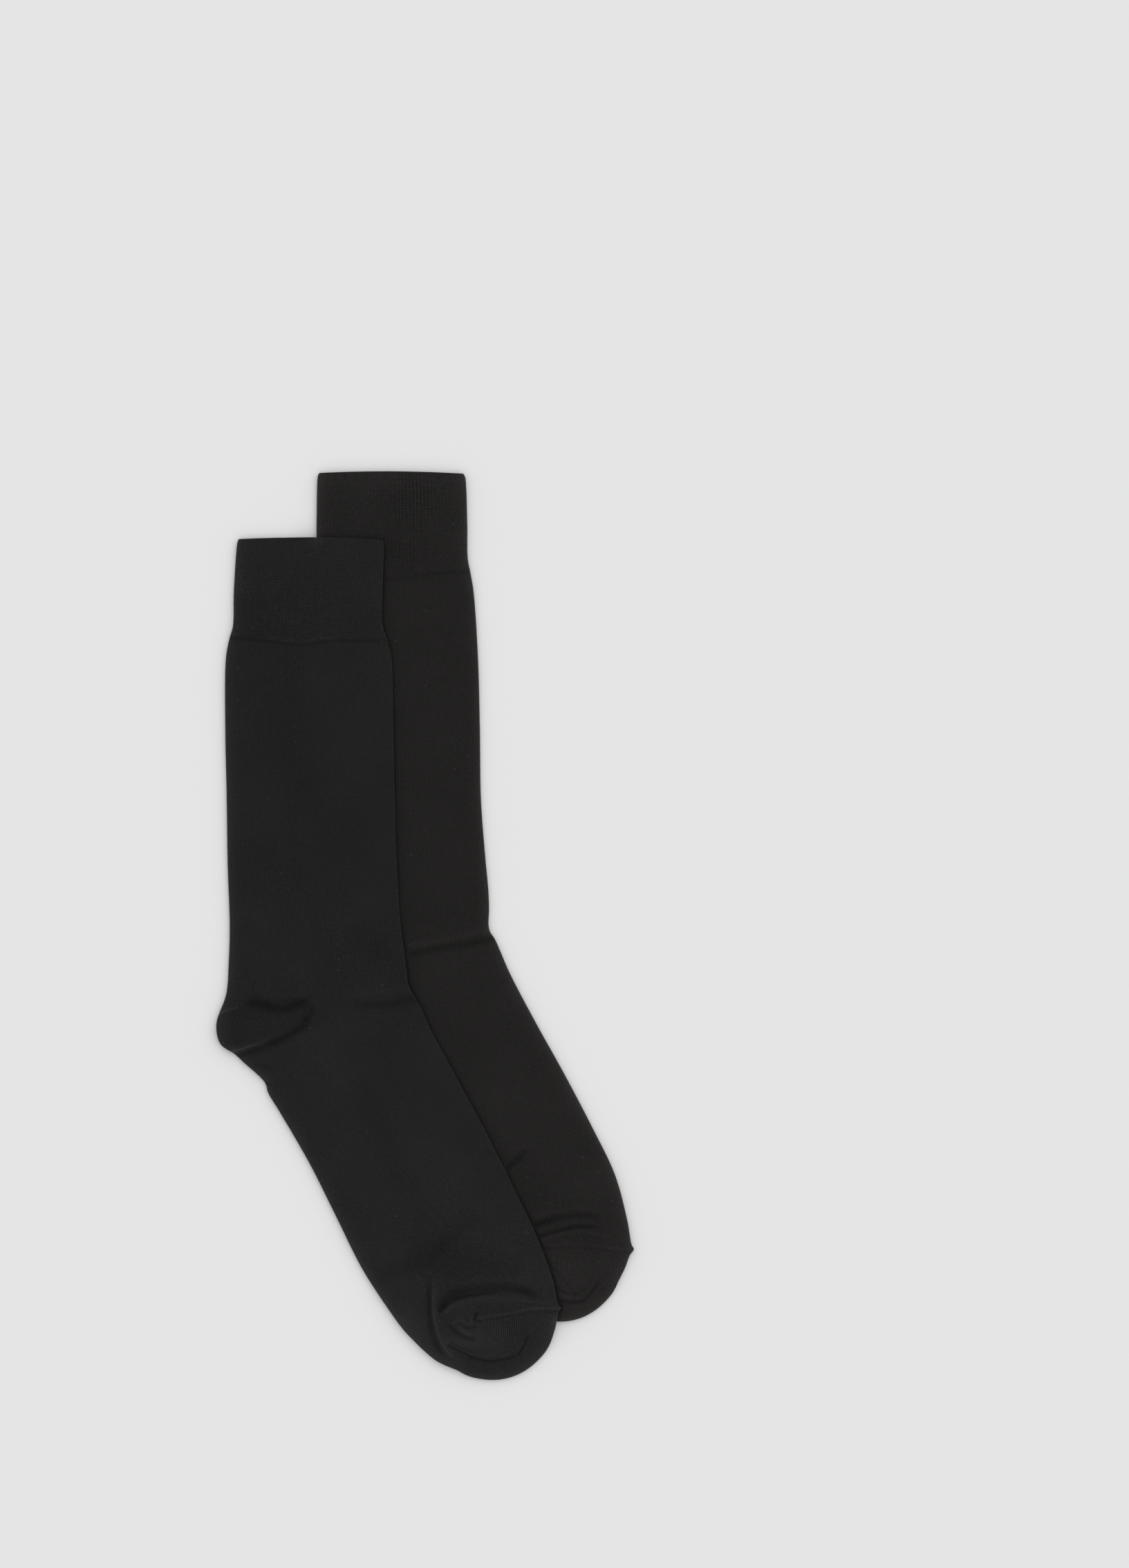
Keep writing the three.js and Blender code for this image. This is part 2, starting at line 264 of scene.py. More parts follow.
UNDER_SECTIONS = (
    Section("cuff rim", (-61.2, 260.8), (22.9, 260.4), -1.2, 0, 3),
    Section("cuff hem", (-61.7, 259.4), (23.6, 259.0), -1.1, 0, 13),
    Section("cuff middle", (-62.4, 232.0), (24.8, 232.0), 0, 0, 14),
    Section("cuff neck", (-62.6, 211.4), (25.1, 212.0), 0, 0, 10),
    Section("cuff line", (-64.0, 204.2), (26.8, 203.0), 0, 0, 8),
    Section("leg top", (-65.7, 193.1), (28.5, 192.3), 0, 0, 14),
    Section("leg upper", (-66.7, 153.9), (31.1, 152.3), 0, 0, 14),
    Section("leg calf", (-66.4, 113.9), (32.1, 112.3), 0, 0, 14, 0.04),
    Section("leg lower", (-66.7, 73.9), (32.7, 73.1), 0, 0, 14, 0.08),
    Section("ankle top", (-65.9, 37.9), (35.3, 38.4), 0, 0, 14, 0.06),
    Section("ankle", (-67.0, 17.1), (37.0, 20.0), 0, 0, 18),
    Section("heel top", (-68.9, -0.9), (37.4, 9.0), 0, 0, 26),
    Section("heel out", (-74.8, -18.8), (37.1, 0.6), 0, 0, 18),
    Section("heel turn", (-71.8, -29.7), (38.0, -3.8), 0, 0, 22),
    Section("heel lip", (-60.4, -39.4), (40.6, -7.8), 0, 0, 20),
    Section("sole notch", (-47.8, -52.9), (43.7, -14.6), 0, 0, 12),
    Section("arch", (-38.9, -69.4), (49.3, -27.6), 0, 0, 14),
    Section("foot middle", (-22.6, -99.7), (64.7, -56.9), 0, 0, 16),
    Section("ball", (-7.9, -129.9), (81.2, -86.6), 0, 0, 26),
    Section("toes start", (6.4, -161.6), (96.9, -116.6), 1, 0, 36, 0.1),
    Section("toe top", (18.6, -184.4), (110.3, -144.6), 3, 0.4, 44, 0.15),
    Section("toe side", (28.0, -200.4), (117.4, -171.0), 7, 0.6, 26, 0.15),
    Section("seam shoulder", (34.4, -208.0), (119.9, -185.0), 9.4, 0.5, 5, 0.15),
    Section("seam end", (35.8, -209.4), (121.2, -187.4), 9.8, 0.5, 6, 0.15),
    Section("seam foot", (37.6, -211.0), (119.0, -190.6), 10.2, 0.4, 16, 0.15),
    Section("toe corner", (46.2, -217.6), (116.0, -198.4), 11.6, 0.2, 18),
    Section("toe tip", (56.5, -222.6), (112.2, -206.0), 12.8, 0, 1),
)

OVER_CUFF_LINE = ((-118, 166.9), (-99.6, 166.4), (-82, 164.4), (-72.4, 163.2), (-56, 165.2), (-14, 166.2))
UNDER_CUFF_LINE = ((-68, 204.6), (-40, 200.6), (-23.2, 200.8), (-10, 202), (10, 204.8), (30.4, 205.6))

# Folds of the upper sock; each tone is painted highlight above zero or painted shade below it, and a crease
# with no rise is painted light or shade alone
OVER_CREASES = (
    Crease(
        "cuff lip",
        ((-92, 166.2), (-82, 164.8), (-72.4, 163.6), (-60, 165.1), (-50, 165.9)),
        0.14, 0.9, 0.7, (4, 4), 0.5,
    ),
    Crease(
        "cuff step",
        ((-117, 165.6), (-99.6, 165.2), (-82, 163.2), (-72.4, 162), (-56, 164), (-14, 165)),
        0, 0.9, 1.2, (0, 0), -0.46,
    ),
    Crease("cuff swell", ((-96, 176), (-78, 173), (-60, 176)), 0.35, 9, 6, (10, 10)),
    Crease(
        "heel pouch",
        ((-124, -63), (-104.8, -61.6), (-89.6, -57.6), (-71, -50.5)),
        1.3, 8, 7, (0, 14), 0.06,
    ),
    Crease("pouch brow", ((-122, -52.2), (-114, -49.4), (-106, -46.8)), 0.45, 1.1, 1.1, (0, 4), 0.5),
    Crease(
        "pouch mouth",
        (
            (-106, -46.6), (-99.2, -45), (-92.8, -46.4), (-86.4, -48.4), (-79.6, -48.2), (-72.8, -45.6),
            (-65, -44),
        ),
        -0.95, 4.0, 3.6, (7, 7), -0.72,
    ),
    Crease(
        "heel lip",
        ((-119, -75), (-109.6, -72.4), (-99.2, -69.2), (-87.2, -64.8), (-78, -60)),
        1.0, 3.4, 1.0, (0, 8), 0.16,
    ),
    Crease(
        "lip edge",
        ((-116, -74.6), (-109.6, -73), (-101, -70.2), (-90, -66.2)),
        0.2, 1.2, 0.7, (3, 14), 0.85,
    ),
    Crease(
        "under the lip",
        (
            (-111, -76.2), (-97.6, -71.6), (-85.6, -66.8), (-73.6, -60.4), (-64.8, -55),
        ),
        -0.75, 0.9, 3.6, (4, 8), -0.46,
    ),
    Crease(
        "lip shadow",
        ((-94, -70), (-85, -66.2), (-77, -61.6), (-69.6, -57), (-65, -52)), 0, 2.4, 3.8, (8, 4), -0.34,
    ),
    Crease("pouch end", ((-72, -56.5), (-66, -52), (-63.5, -46)), -0.4, 2.0, 2.2, (3, 3), -0.46),
    Crease("sole pucker", ((-94.5, -90.4), (-91, -91.4), (-87, -93.4)), -0.5, 0.8, 1.0, (0, 3), -0.6),
    Crease("sole gather", ((-101, -82), (-94, -81.5), (-86, -85)), -0.3, 2.2, 2.2, (4, 5), -0.2),
    Crease(
        "instep ridge",
        ((-48, -41.2), (-33.6, -39.6), (-21.6, -38.4), (-6, -36)),
        0.55, 3.2, 2.6, (16, 0), 0.12,
    ),
    Crease(
        "instep trough",
        ((-46, -45), (-27.6, -45.8), (-15.6, -44.8), (-3, -41.6)),
        -0.6, 2.8, 4.2, (16, 0), -0.38,
    ),
    Crease(
        "ball trough",
        ((-36, -205), (-15.6, -200), (2.8, -193), (20.4, -176), (37, -165)),
        -0.45, 8, 6.5, (14, 12), -0.19,
    ),
    Crease(
        "toe ridge",
        (
            (4.9, -198), (5, -208), (4.9, -218), (5.3, -226), (6.7, -233), (9.3, -240), (12.7, -246),
            (17.4, -251.4),
        ),
        0.9, 3.8, 1.0, (12, 5), 0.2,
    ),
    Crease(
        "ridge edge",
        ((5, -203), (4.9, -218), (5.4, -226), (6.9, -233.2), (9.6, -240.4), (13, -246.3), (17, -250.8)),
        0.25, 0.8, 0.6, (8, 5), 0.46,
    ),
    Crease(
        "ridge foot",
        ((2.8, -202), (3.2, -214), (3.2, -223.5), (4.2, -232.2), (6, -239), (8.7, -244.8), (12, -248.8)),
        -0.6, 0.9, 2.8, (12, 5), -0.5,
    ),
    Crease(
        "toe crease",
        (
            (9, -222.5), (10.4, -218.6), (13.4, -215), (18, -212.4), (24, -211), (33, -210.2), (44, -210),
            (54, -210.4),
            (60.6, -212.2), (64.6, -215.2),
        ),
        -0.75, 3.6, 2.8, (3, 6), -0.42,
    ),
    Crease(
        "crease hollow",
        ((8.2, -224.6), (10.6, -220.4), (14.4, -216.6), (20, -214), (28, -212.6)),
        -0.35, 2.6, 2.2, (2, 8), -0.42,
    ),
    Crease(
        "crease end",
        ((50, -210.2), (57.4, -211.4), (62.6, -214), (65.6, -217)),
        -0.3, 2.4, 2.4, (6, 3), -0.3,
    ),
    Crease(
        "crease brow",
        ((10, -212), (16, -208), (26, -206), (40, -205), (54, -205.4), (63, -208)),
        0.3, 2.6, 2.0, (6, 8), 0.12,
    ),
    Crease(
        "toe fold",
        (
            (8, -225), (10.6, -221.8), (14, -218.9), (18, -216.8), (23.4, -215), (29, -213.8), (35, -213),
            (41, -212.6),
            (46, -212.6),
        ),
        -0.75, 1.8, 0.7, (2, 9), -0.62,
    ),
    Crease(
        "toe band",
        (
            (9.4, -227), (13, -222.4), (18.6, -219.2), (26, -217), (36, -215.8), (50, -215.9), (64, -217.4),
            (76, -218.2),
        ),
        0.55, 1.5, 2.2, (3, 6), 0.22,
    ),
    Crease(
        "seam bed",
        ((33, -228.2), (38.7, -227.4), (50.1, -225.5), (59, -223.8), (67, -223), (79, -222.9)),
        -0.3, 0.7, 1.1, (3, 0), -0.2,
    ),
    Crease(
        "toe seam",
        (
            (29, -227.2), (33.3, -227), (38.7, -225.8), (44.4, -224.8), (50.1, -223.9), (55.1, -223),
            (59, -222),
            (63, -221.4), (69, -221.3), (75, -221.3), (81, -221),
        ),
        0.5, 0.8, 0.7, (1, 0), 0.42,
    ),
    Crease("seam end", ((52, -223), (58, -221.9), (66, -220.9), (81, -220.8)), 0.35, 1.3, 1.0, (6, 0), 0.2),
    Crease("seam shade", ((30, -223.8), (36, -223.2), (44, -221.8)), -0.25, 1.0, 1.2, (2, 5), -0.26),
    Crease("pucker", ((30, -223.4), (29.5, -226), (28.5, -229)), -1.0, 1.0, 0.8, (1.4, 1.4), -1.0),
    Crease(
        "pucker tail",
        ((28.6, -228.8), (31.4, -228.9), (34.4, -228.3)),
        -0.4, 0.5, 0.8, (0.6, 1.5), -0.4,
    ),
    Crease(
        "swirl",
        (
            (15.8, -231.6), (17.6, -229.3), (20, -228.3), (22.4, -229.3), (24.4, -230.9), (26.3, -230.6),
            (26.8, -228.8),
            (25.6, -226.4),
        ),
        0.55, 1.0, 0.9, (1.5, 1.5), 0.36,
    ),
    Crease(
        "swirl line",
        ((18, -231.5), (20, -233.2), (22.2, -234.7), (24.8, -235.9), (28.4, -237.2)),
        0.5, 0.9, 0.8, (1.5, 3), 0.4,
    ),
    Crease(
        "swirl bed",
        ((13.8, -230.4), (17.2, -234.2), (20.8, -237.1), (24.8, -238.9), (31, -239.8)),
        -0.65, 1.3, 1.8, (2, 3), -0.44,
    ),
    Crease("swirl gap", ((22, -232), (26.4, -233), (31.4, -231.8)), -0.5, 0.9, 0.9, (1.5, 2.5), -0.4),
    Crease("swirl notch", ((22.8, -225), (24.2, -227.2), (24.7, -229.2)), -0.4, 0.6, 0.6, (1, 1), -0.44),
    Crease("pocket brow", ((15, -238), (24, -242), (36, -241)), 0.3, 3, 2.6, (4, 6), 0.12),
    Crease(
        "toe rim",
        (
            (12.4, -241.8), (18, -244.9), (23, -247.4), (28, -249.9), (33, -251.3), (38, -251.9),
            (44, -251.2),
            (50, -249.8), (54, -248.4),
        ),
        -0.75, 0.8, 1.4, (3, 4), -0.5,
    ),
    Crease(
        "rim pleat",
        ((14.6, -241), (20, -243.8), (26, -246.2), (31, -247.8)),
        -0.3, 0.6, 0.6, (2, 4), -0.34,
    ),
    Crease(
        "rim crease",
        ((16, -246.2), (22, -249.2), (28, -251.6), (34, -253)),
        -0.25, 0.6, 0.6, (3, 5), -0.26,
    ),
    Crease(
        "toe gore",
        ((34, -230.6), (38, -235.6), (44.4, -241.4), (48.7, -245.3), (53, -248.5)),
        -0.12, 0.6, 0.6, (3, 2), -0.14,
    ),
    Crease(
        "toe wedge",
        ((53, -249.2), (55.9, -245.5), (57.7, -242.6), (58.8, -239), (60.8, -235)),
        -0.6, 0.6, 1.1, (2, 5), -0.66,
    ),
    Crease("cuff shade", ((-99, 196), (-97, 178), (-93, 160)), 0, 20, 18, (10, 10), -0.1),
    Crease(
        "leg shade",
        ((-76, 176), (-82, 150), (-72, 110), (-62, 60), (-52, 0)),
        0, 44, 40, (10, 24), -0.13,
    ),
    Crease("ankle shade", ((-48, -4), (-32, -12), (-16, -21), (-4, -30)), 0, 15, 13, (8, 0), -0.13),
    Crease("arch light", ((-64, -54), (-57, -78), (-48, -104)), 0, 26, 22, (8, 16), 0.15),
    Crease("toe shade", ((-14, -190), (8, -194), (32, -197), (58, -205)), 0, 18, 15, (10, 8), -0.19),
    Crease(
        "toe light",
        ((-16, -222), (-2, -235), (13, -243.4), (29, -241), (52, -238)),
        0, 12, 11, (8, 10), 0.19,
    ),
)

# Folds of the lower sock; each tone is painted highlight above zero or painted shade below it, and a crease
# with no rise is painted light or shade alone
UNDER_CREASES = (
    Crease(
        "cuff step",
        ((-68, 203.4), (-40, 199.4), (-23.2, 199.6), (-10, 200.8), (10, 203.6), (30.4, 204.4)),
        0, 0.9, 1.2, (0, 0), -0.34,
    ),
    Crease("cuff swell", ((-20, 212), (0, 209), (18, 212)), 0.3, 9, 6, (10, 10)),
    Crease(
        "ankle ridge",
        ((-14, -12.4), (-3, -11.2), (12.3, -8.6), (26, -5.6), (41, -1.4)),
        0.6, 2.6, 2.2, (6, 0), 0.16,
    ),
    Crease(
        "ankle trough",
        ((-12, -17), (-0.4, -15.4), (8.2, -13.2), (24.7, -11), (42, -7)),
        -0.7, 2.4, 3.6, (6, 0), -0.42,
    ),
    Crease("ankle pleat", ((-9, -9), (-2, -7), (8, -4.6)), -0.22, 1.2, 1.4, (0, 6), -0.16),
    Crease(
        "ball crease",
        ((41, -145), (49, -139), (54, -135), (61, -128.4)),
        -0.7, 2.0, 2.8, (0, 10), -0.62,
    ),
    Crease("ball brow", ((47, -133), (54, -129.6), (62, -124)), 0.3, 2, 2, (0, 8), 0.1),
    Crease(
        "toe crease",
        ((56, -179), (62, -174.6), (70, -171.5), (79.6, -169.2), (92.8, -168.2), (104, -169.6)),
        -0.75, 2.6, 1.8, (0, 10), -0.46,
    ),
    Crease(
        "crease hollow",
        ((55, -180), (62, -175), (70, -172), (78, -170)),
        -0.3, 2.6, 2.2, (0, 8), -0.34,
    ),
    Crease(
        "crease brow",
        ((58, -170.4), (70, -166.6), (84, -164.2), (100, -164.4)),
        0.3, 2.4, 2.2, (0, 8), 0.1,
    ),
    Crease(
        "toe ridge",
        ((60, -181), (66, -177.6), (75, -174.6), (87, -172), (100, -172)),
        0.4, 1.3, 1.1, (0, 7), 0.14,
    ),
    Crease(
        "toe fold",
        (
            (62, -182.6), (65.8, -180.6), (72.1, -178.6), (80.8, -176), (89.5, -174.6), (97, -174.6),
            (104, -175.8),
        ),
        -0.75, 1.6, 0.8, (0, 10), -0.52,
    ),
    Crease(
        "toe band",
        ((63, -184.8), (73, -180.6), (86, -177.8), (98, -178.2), (110, -181.6)),
        0.45, 1.5, 1.9, (0, 8), 0.16,
    ),
    Crease(
        "toe seam",
        (
            (66, -186.2), (69, -185.4), (76.7, -184.8), (87.5, -184.3), (98.4, -185.2), (109.2, -187),
            (124, -187.6),
        ),
        0.45, 0.9, 0.8, (0, 0), 0.2,
    ),
    Crease(
        "seam bed",
        ((66, -188.2), (76.7, -186.8), (87.5, -186.3), (98.4, -187.2), (109.2, -189), (120, -189.9)),
        -0.22, 0.7, 1.2, (0, 0), -0.15,
    ),
    Crease(
        "gore",
        ((68.4, -190), (73.6, -197.2), (80.8, -205.6), (88, -214.4)),
        -0.22, 0.8, 0.8, (3, 2), -0.24,
    ),
    Crease("side fold", ((72, -204), (78, -211), (86, -213.4), (94, -210)), -0.3, 1.2, 1.4, (4, 4), -0.2),
    Crease("side swell", ((70, -206), (76, -213.4), (86, -216)), 0.25, 1.4, 1.2, (4, 4), 0.14),
    Crease(
        "toe rim",
        (
            (70, -214.4), (77.8, -216.9), (86.2, -217.9), (91.7, -216.7), (96, -212.5), (99, -208.4),
            (101, -204),
        ),
        -0.6, 0.8, 1.4, (0, 6), -0.46,
    ),
    Crease("hem light", ((-66, 262), (-20, 262), (28, 262)), 0, 16, 16, (0, 0), 0.2),
    Crease("foot shade", ((6, -96), (30, -124), (52, -148)), 0, 16, 18, (10, 6), -0.06),
    Crease("toe shade", ((54, -146), (70, -164), (90, -174), (108, -183)), 0, 22, 20, (8, 8), -0.14),
)

# Shallow creases of the lower faces, which stay flat on what they lie on between them, with painted shade in
# their tones
OVER_HIDDEN = (
    Crease("heel fold", ((-117, -66), (-98, -60), (-80, -53)), 0.5, 2.6, 2.2, (0, 10), -0.4),
    Crease("instep fold", ((-44, -45), (-26, -46), (-3, -41.6)), 0.45, 2.4, 2.8, (10, 0), -0.3),
    Crease("toe fold", ((-14, -222), (6, -214), (30, -211), (58, -212)), 0.45, 2.2, 2.2, (8, 8), -0.4),
)
UNDER_HIDDEN = (
    Crease("heel fold", ((-72, -26), (-52, -20), (-33, -12)), 0.5, 2.4, 2.4, (0, 10), -0.4),
    Crease("ankle fold", ((-2, -13), (16, -11), (41, -4)), 0.45, 2.4, 2.8, (8, 0), -0.3),
    Crease("toe fold", ((30, -190), (50, -181), (76, -176), (104, -178)), 0.45, 2.2, 2.2, (8, 8), -0.4),
)

OVER_OPENINGS = (
    Opening((-74, 176), 26, 0.9),
    Opening((-40, 205), 24, 0.35),
    Opening((-100, 190), 16, 0.4),
    Opening((-15, -22), 17, 0.9),
    Opening((-40, -8), 22, 0.7),
    Opening((-62, 10), 14, 0.4),
    Opening((-88, 20), 13, 0.6),
    Opening((-94, -39), 14, 0.8),
    Opening((-74, -49), 9, 0.6),
    Opening((-107, -71), 9, -1.0),
    Opening((-88, -92), 12, 0.6),
    Opening((-70, 40), 34, 0.25),
    Opening((38, -206), 30, 1.0),
    Opening((56, -234), 20, 0.9),
    Opening((4, -192), 27, 0.9),
    Opening((14, -175), 18, 0.7),
    Opening((-30, -130), 30, 0.2),
)
UNDER_OPENINGS = (
    Opening((-8, 248), 18, 0.8),
    Opening((-14, 214), 16, 0.5),
    Opening((-50, 236), 20, 0.2),
    Opening((22, 2), 17, 0.9),
    Opening((86, -178), 24, 1.0),
    Opening((63, -150), 18, 0.9),
    Opening((10, 120), 36, 0.25),
)

# Where the upper sock's edge stands off the lower sock, so that the painted shadow beside it is darker
SHADE_PLACES = (
    Opening((-8, -26), 16, 1.0),
    Opening((78, -216), 14, 1.0),
    Opening((62, -176), 12, 0.5),
    Opening((-24, 198), 34, 0.5),
)

OVER_AREAS = (
    Area(
        Patch.HEEL,
        (
            (-111, -49), (-107, -47), (-101, -44), (-92, -43), (-80, -42), (-67, -42), (-64, -47),
            (-66, -54), (-74, -60), (-86, -65), (-99, -69), (-108, -72), (-112, -66), (-113, -56),
        ),
    ),
    Area(
        Patch.TOE_CAP,
        (
            (33, -227), (38, -226), (50, -224), (63, -222), (82, -222), (83, -241), (74, -255), (64, -262),
            (53, -249), (47, -244), (42, -238), (37, -232),
        ),
    ),
    Area(
        Patch.TOE_SIDE,
        (
            (33, -227), (37, -232), (42, -238), (47, -244), (53, -249), (45, -251), (32, -252), (22, -248),
            (13, -242), (10, -237), (16, -227), (26, -223),
        ),
    ),
    Area(
        Patch.TOE_BAND,
        (
            (13, -242), (22, -248), (32, -252), (45, -251), (53, -249), (64, -262), (58, -272), (30, -272),
            (10, -262),
        ),
    ),
)
UNDER_AREAS = (
    Area(
        Patch.TOE_CAP,
        (
            (68, -188), (82, -185), (93, -185), (104, -185), (126, -188), (124, -205), (114, -219),
            (102, -227),
            (92, -217), (88, -214), (81, -206), (74, -197),
        ),
    ),
    Area(
        Patch.TOE_SIDE,
        ((68, -188), (74, -197), (81, -206), (88, -214), (84, -218), (74, -216), (62, -209), (58, -193)),
    ),
    Area(
        Patch.TOE_BAND,
        ((74, -216), (84, -218), (90, -218), (92, -217), (102, -227), (94, -238), (66, -235), (62, -217)),
    ),
)


def ease(share: np.ndarray) -> np.ndarray:
    """A smooth step from 0 to 1: three squares less two cubes of the clamped share."""
    s = np.clip(share, 0.0, 1.0)
    return s * s * (3.0 - 2.0 * s)


def curve_through(points: np.ndarray, t: np.ndarray) -> np.ndarray:
    """A smooth curve through points, as a centripetal Catmull-Rom spline.

    Each stretch is the cubic whose ends are the two points and whose tangents come from the
    neighbouring points, with knots spaced by the square root of the distances.

    Args:
        points: Points of shape (n, 2).
        t: Places along the curve, from 0 at the first point to 1 at the last.

    Returns:
        Points of shape (len(t), 2).
    """
    last = len(points) - 1
    ends = np.vstack([2 * points[0] - points[1], points, 2 * points[-1] - points[-2]])
    place = np.clip(t, 0.0, 1.0) * last
    start = np.minimum(place.astype(int), last - 1)
    w = (place - start)[:, None]
    p0, p1, p2, p3 = (ends[start + k] for k in range(4))
    d0, d1, d2 = (
        np.sqrt(np.linalg.norm(b - a, axis=1))[:, None] for a, b in ((p0, p1), (p1, p2), (p2, p3))
    )
    m1 = ((p1 - p0) / d0 - (p2 - p0) / (d0 + d1) + (p2 - p1) / d1) * d1
    m2 = ((p2 - p1) / d1 - (p3 - p1) / (d1 + d2) + (p3 - p2) / d2) * d1
    cubic = 2 * p1 - 2 * p2 + m1 + m2
    square = 3 * p2 - 3 * p1 - 2 * m1 - m2
    return p1 + m1 * w + square * w**2 + cubic * w**3


@dataclass
class RunDistance:
    """How a set of points lies to a run of points joined by straight lines."""

    away: np.ndarray
    side: np.ndarray
    travelled: np.ndarray
    length: float


def distance_to_run(points: np.ndarray, run: np.ndarray) -> RunDistance:
    """Distance from points to a run, by dropping each point on each straight piece of it.

    Args:
        points: Points of shape (n, 2).
        run: The run's points, of shape (m, 2); a closed run repeats its first point.

    Returns:
        For each point the distance, its side (1 on the left of the run) and the length of run
        travelled up to the nearest place, and the run's whole length.
    """
    legs = run[1:] - run[:-1]
    squares = np.maximum((legs * legs).sum(axis=1), 1e-12)
    lengths = np.sqrt(squares)
    starts = np.concatenate([[0.0], np.cumsum(lengths)])
    found = [nearest_leg(part, run[:-1], legs, squares) for part in np.array_split(points, CHUNKS)]
    away, side, leg, share = (np.concatenate(column) for column in zip(*found))
    return RunDistance(away, side, starts[leg] + share * lengths[leg], float(starts[-1]))


def nearest_leg(
    points: np.ndarray, starts: np.ndarray, legs: np.ndarray, squares: np.ndarray
) -> tuple[np.ndarray, np.ndarray, np.ndarray, np.ndarray]:
    """The nearest straight piece of a run to each point.

    Args:
        points: Points of shape (n, 2).
        starts: First point of each piece.
        legs: Each piece as a vector.
        squares: Squared length of each piece.

    Returns:
        Distance, side, index of the piece and share along it, each of length n.
    """
    off = points[:, None, :] - starts[None]
    share = np.clip((off * legs).sum(axis=2) / squares, 0.0, 1.0)
    gap = off - share[..., None] * legs
    square = (gap * gap).sum(axis=2)
    leg = square.argmin(axis=1)
    pick = (np.arange(len(points)), leg)
    side = np.sign(legs[leg, 0] * off[pick][:, 1] - legs[leg, 1] * off[pick][:, 0])
    return np.sqrt(square[pick]), side, leg, share[pick]


def inside(points: np.ndarray, outline: np.ndarray) -> np.ndarray:
    """Whether points lie inside a closed outline, by counting the sides crossed towards +X.

    Args:
        points: Points of shape (n, 2).
        outline: Corners of shape (m, 2), without a repeat of the first.

    Returns:
        A boolean array of length n.
    """
    following = np.roll(outline, -1, axis=0)
    rise = following[:, 1] - outline[:, 1]
    slope = (following[:, 0] - outline[:, 0]) / np.where(rise == 0, 1e-12, rise)
    x, y = points[:, :1], points[:, 1:]
    spans = (outline[:, 1] > y) != (following[:, 1] > y)
    crossed = spans & (x < outline[:, 0] + (y - outline[:, 1]) * slope)
    return crossed.sum(axis=1) % 2 == 1


def away_from(points: np.ndarray, outline: np.ndarray) -> np.ndarray:
    """Distance of points from a closed outline, inside it and out."""
    return distance_to_run(points, np.vstack([outline, outline[:1]])).away


def fold_fields(points: np.ndarray, creases: tuple[Crease, ...]) -> tuple[np.ndarray, np.ndarray]:
    """Height and tone, which is painted shade or highlight, that the creases add at points of the plan.

    Each crease adds its rise and its tone times exp(-2 q squared), where q is the distance from its
    path over the half width of that side, and fades out near the ends of the path.

    Args:
        points: Points of shape (n, 2), in millimetres.
        creases: The creases of this face.

    Returns:
        Heights in millimetres, and tones of painted shade or highlight.
    """
    height, tone = np.zeros(len(points)), np.zeros(len(points))
    for crease in creases:
        run = curve_through(np.array(crease.path, dtype=float), np.linspace(0, 1, CREASE_STEPS))
        reach = CREASE_REACH * max(crease.left, crease.right)
        low, high = run.min(axis=0) - reach, run.max(axis=0) + reach
        near = np.flatnonzero(((points > low) & (points < high)).all(axis=1))
        if len(near) == 0:
            continue
        lie = distance_to_run(points[near], run)
        half = np.where(lie.side > 0, crease.left, crease.right)
        share = np.exp(-2.0 * (lie.away / half) ** 2)
        if crease.fade[0] > 0:
            share = share * ease(lie.travelled / crease.fade[0])
        if crease.fade[1] > 0:
            share = share * ease((lie.length - lie.travelled) / crease.fade[1])
        height[near] += crease.rise * share
        tone[near] += crease.tone * share
    return height, tone


def openness(points: np.ndarray, openings: tuple[Opening, ...]) -> np.ndarray:
    """How far the wales stand open, from -1 to 1: the sum of each amount times exp(-q squared).

    Args:
        points: Points of the plan, of shape (n, 2), in millimetres.
        openings: The places where the wales stand open or closed.

    Returns:
        One value for each point.
    """
    total = np.zeros(len(points))
    for opening in openings:
        away = np.linalg.norm(points - np.array(opening.place), axis=1)
        total += opening.amount * np.exp(-((away / opening.reach) ** 2))
    return np.clip(total, -1.0, 1.0)


def soft_waves(points: np.ndarray, phase: float) -> np.ndarray:
    """Low swells of cloth that lies by itself: the sum of a few sine waves across the plan.

    Args:
        points: Points of the plan, of shape (n, 2), in millimetres.
        phase: Shift of the waves, in radians, which differs between the socks.

    Returns:
        Heights in millimetres.
    """
    x, y = points[:, 0], points[:, 1]
    return sum(
        height * np.sin(x / along_x + y / along_y + turn * phase)
        for height, along_x, along_y, turn in SOFT_WAVES
    )


@dataclass
class Rings:
    """Rings of a flattened tube in plan, and how each one turns over the toe's edge."""

    back: np.ndarray
    instep: np.ndarray
    bow: np.ndarray
    rise: np.ndarray
    push: np.ndarray
    lift: np.ndarray
    trim: np.ndarray
    spread: np.ndarray

    def width(self) -> np.ndarray:
        """Width of each ring."""
        return np.linalg.norm(self.instep - self.back, axis=1)

    def place(self, along: np.ndarray, push: np.ndarray | float = 0.0) -> np.ndarray:
        """Points of the rings in plan.

        A point is the back end, plus its distance along the chord, plus a shift at right angles
        to the chord: the bow times 1 less the square of the distance from the middle.

        Args:
            along: Distances from the back end, one row of them for each ring.
            push: A further shift towards the toe.

        Returns:
            Points of shape (rings, columns, 2).
        """
        width = self.width()[:, None]
        chord = ((self.instep - self.back) / width)[:, None, :]
        toeward = np.stack([chord[..., 1], -chord[..., 0]], axis=-1)
        u = np.abs(2.0 * along / width - 1.0)
        shift = self.bow[:, None] * (1.0 - u**BOW_POWER) + push
        return self.back[:, None, :] + along[..., None] * chord + shift[..., None] * toeward


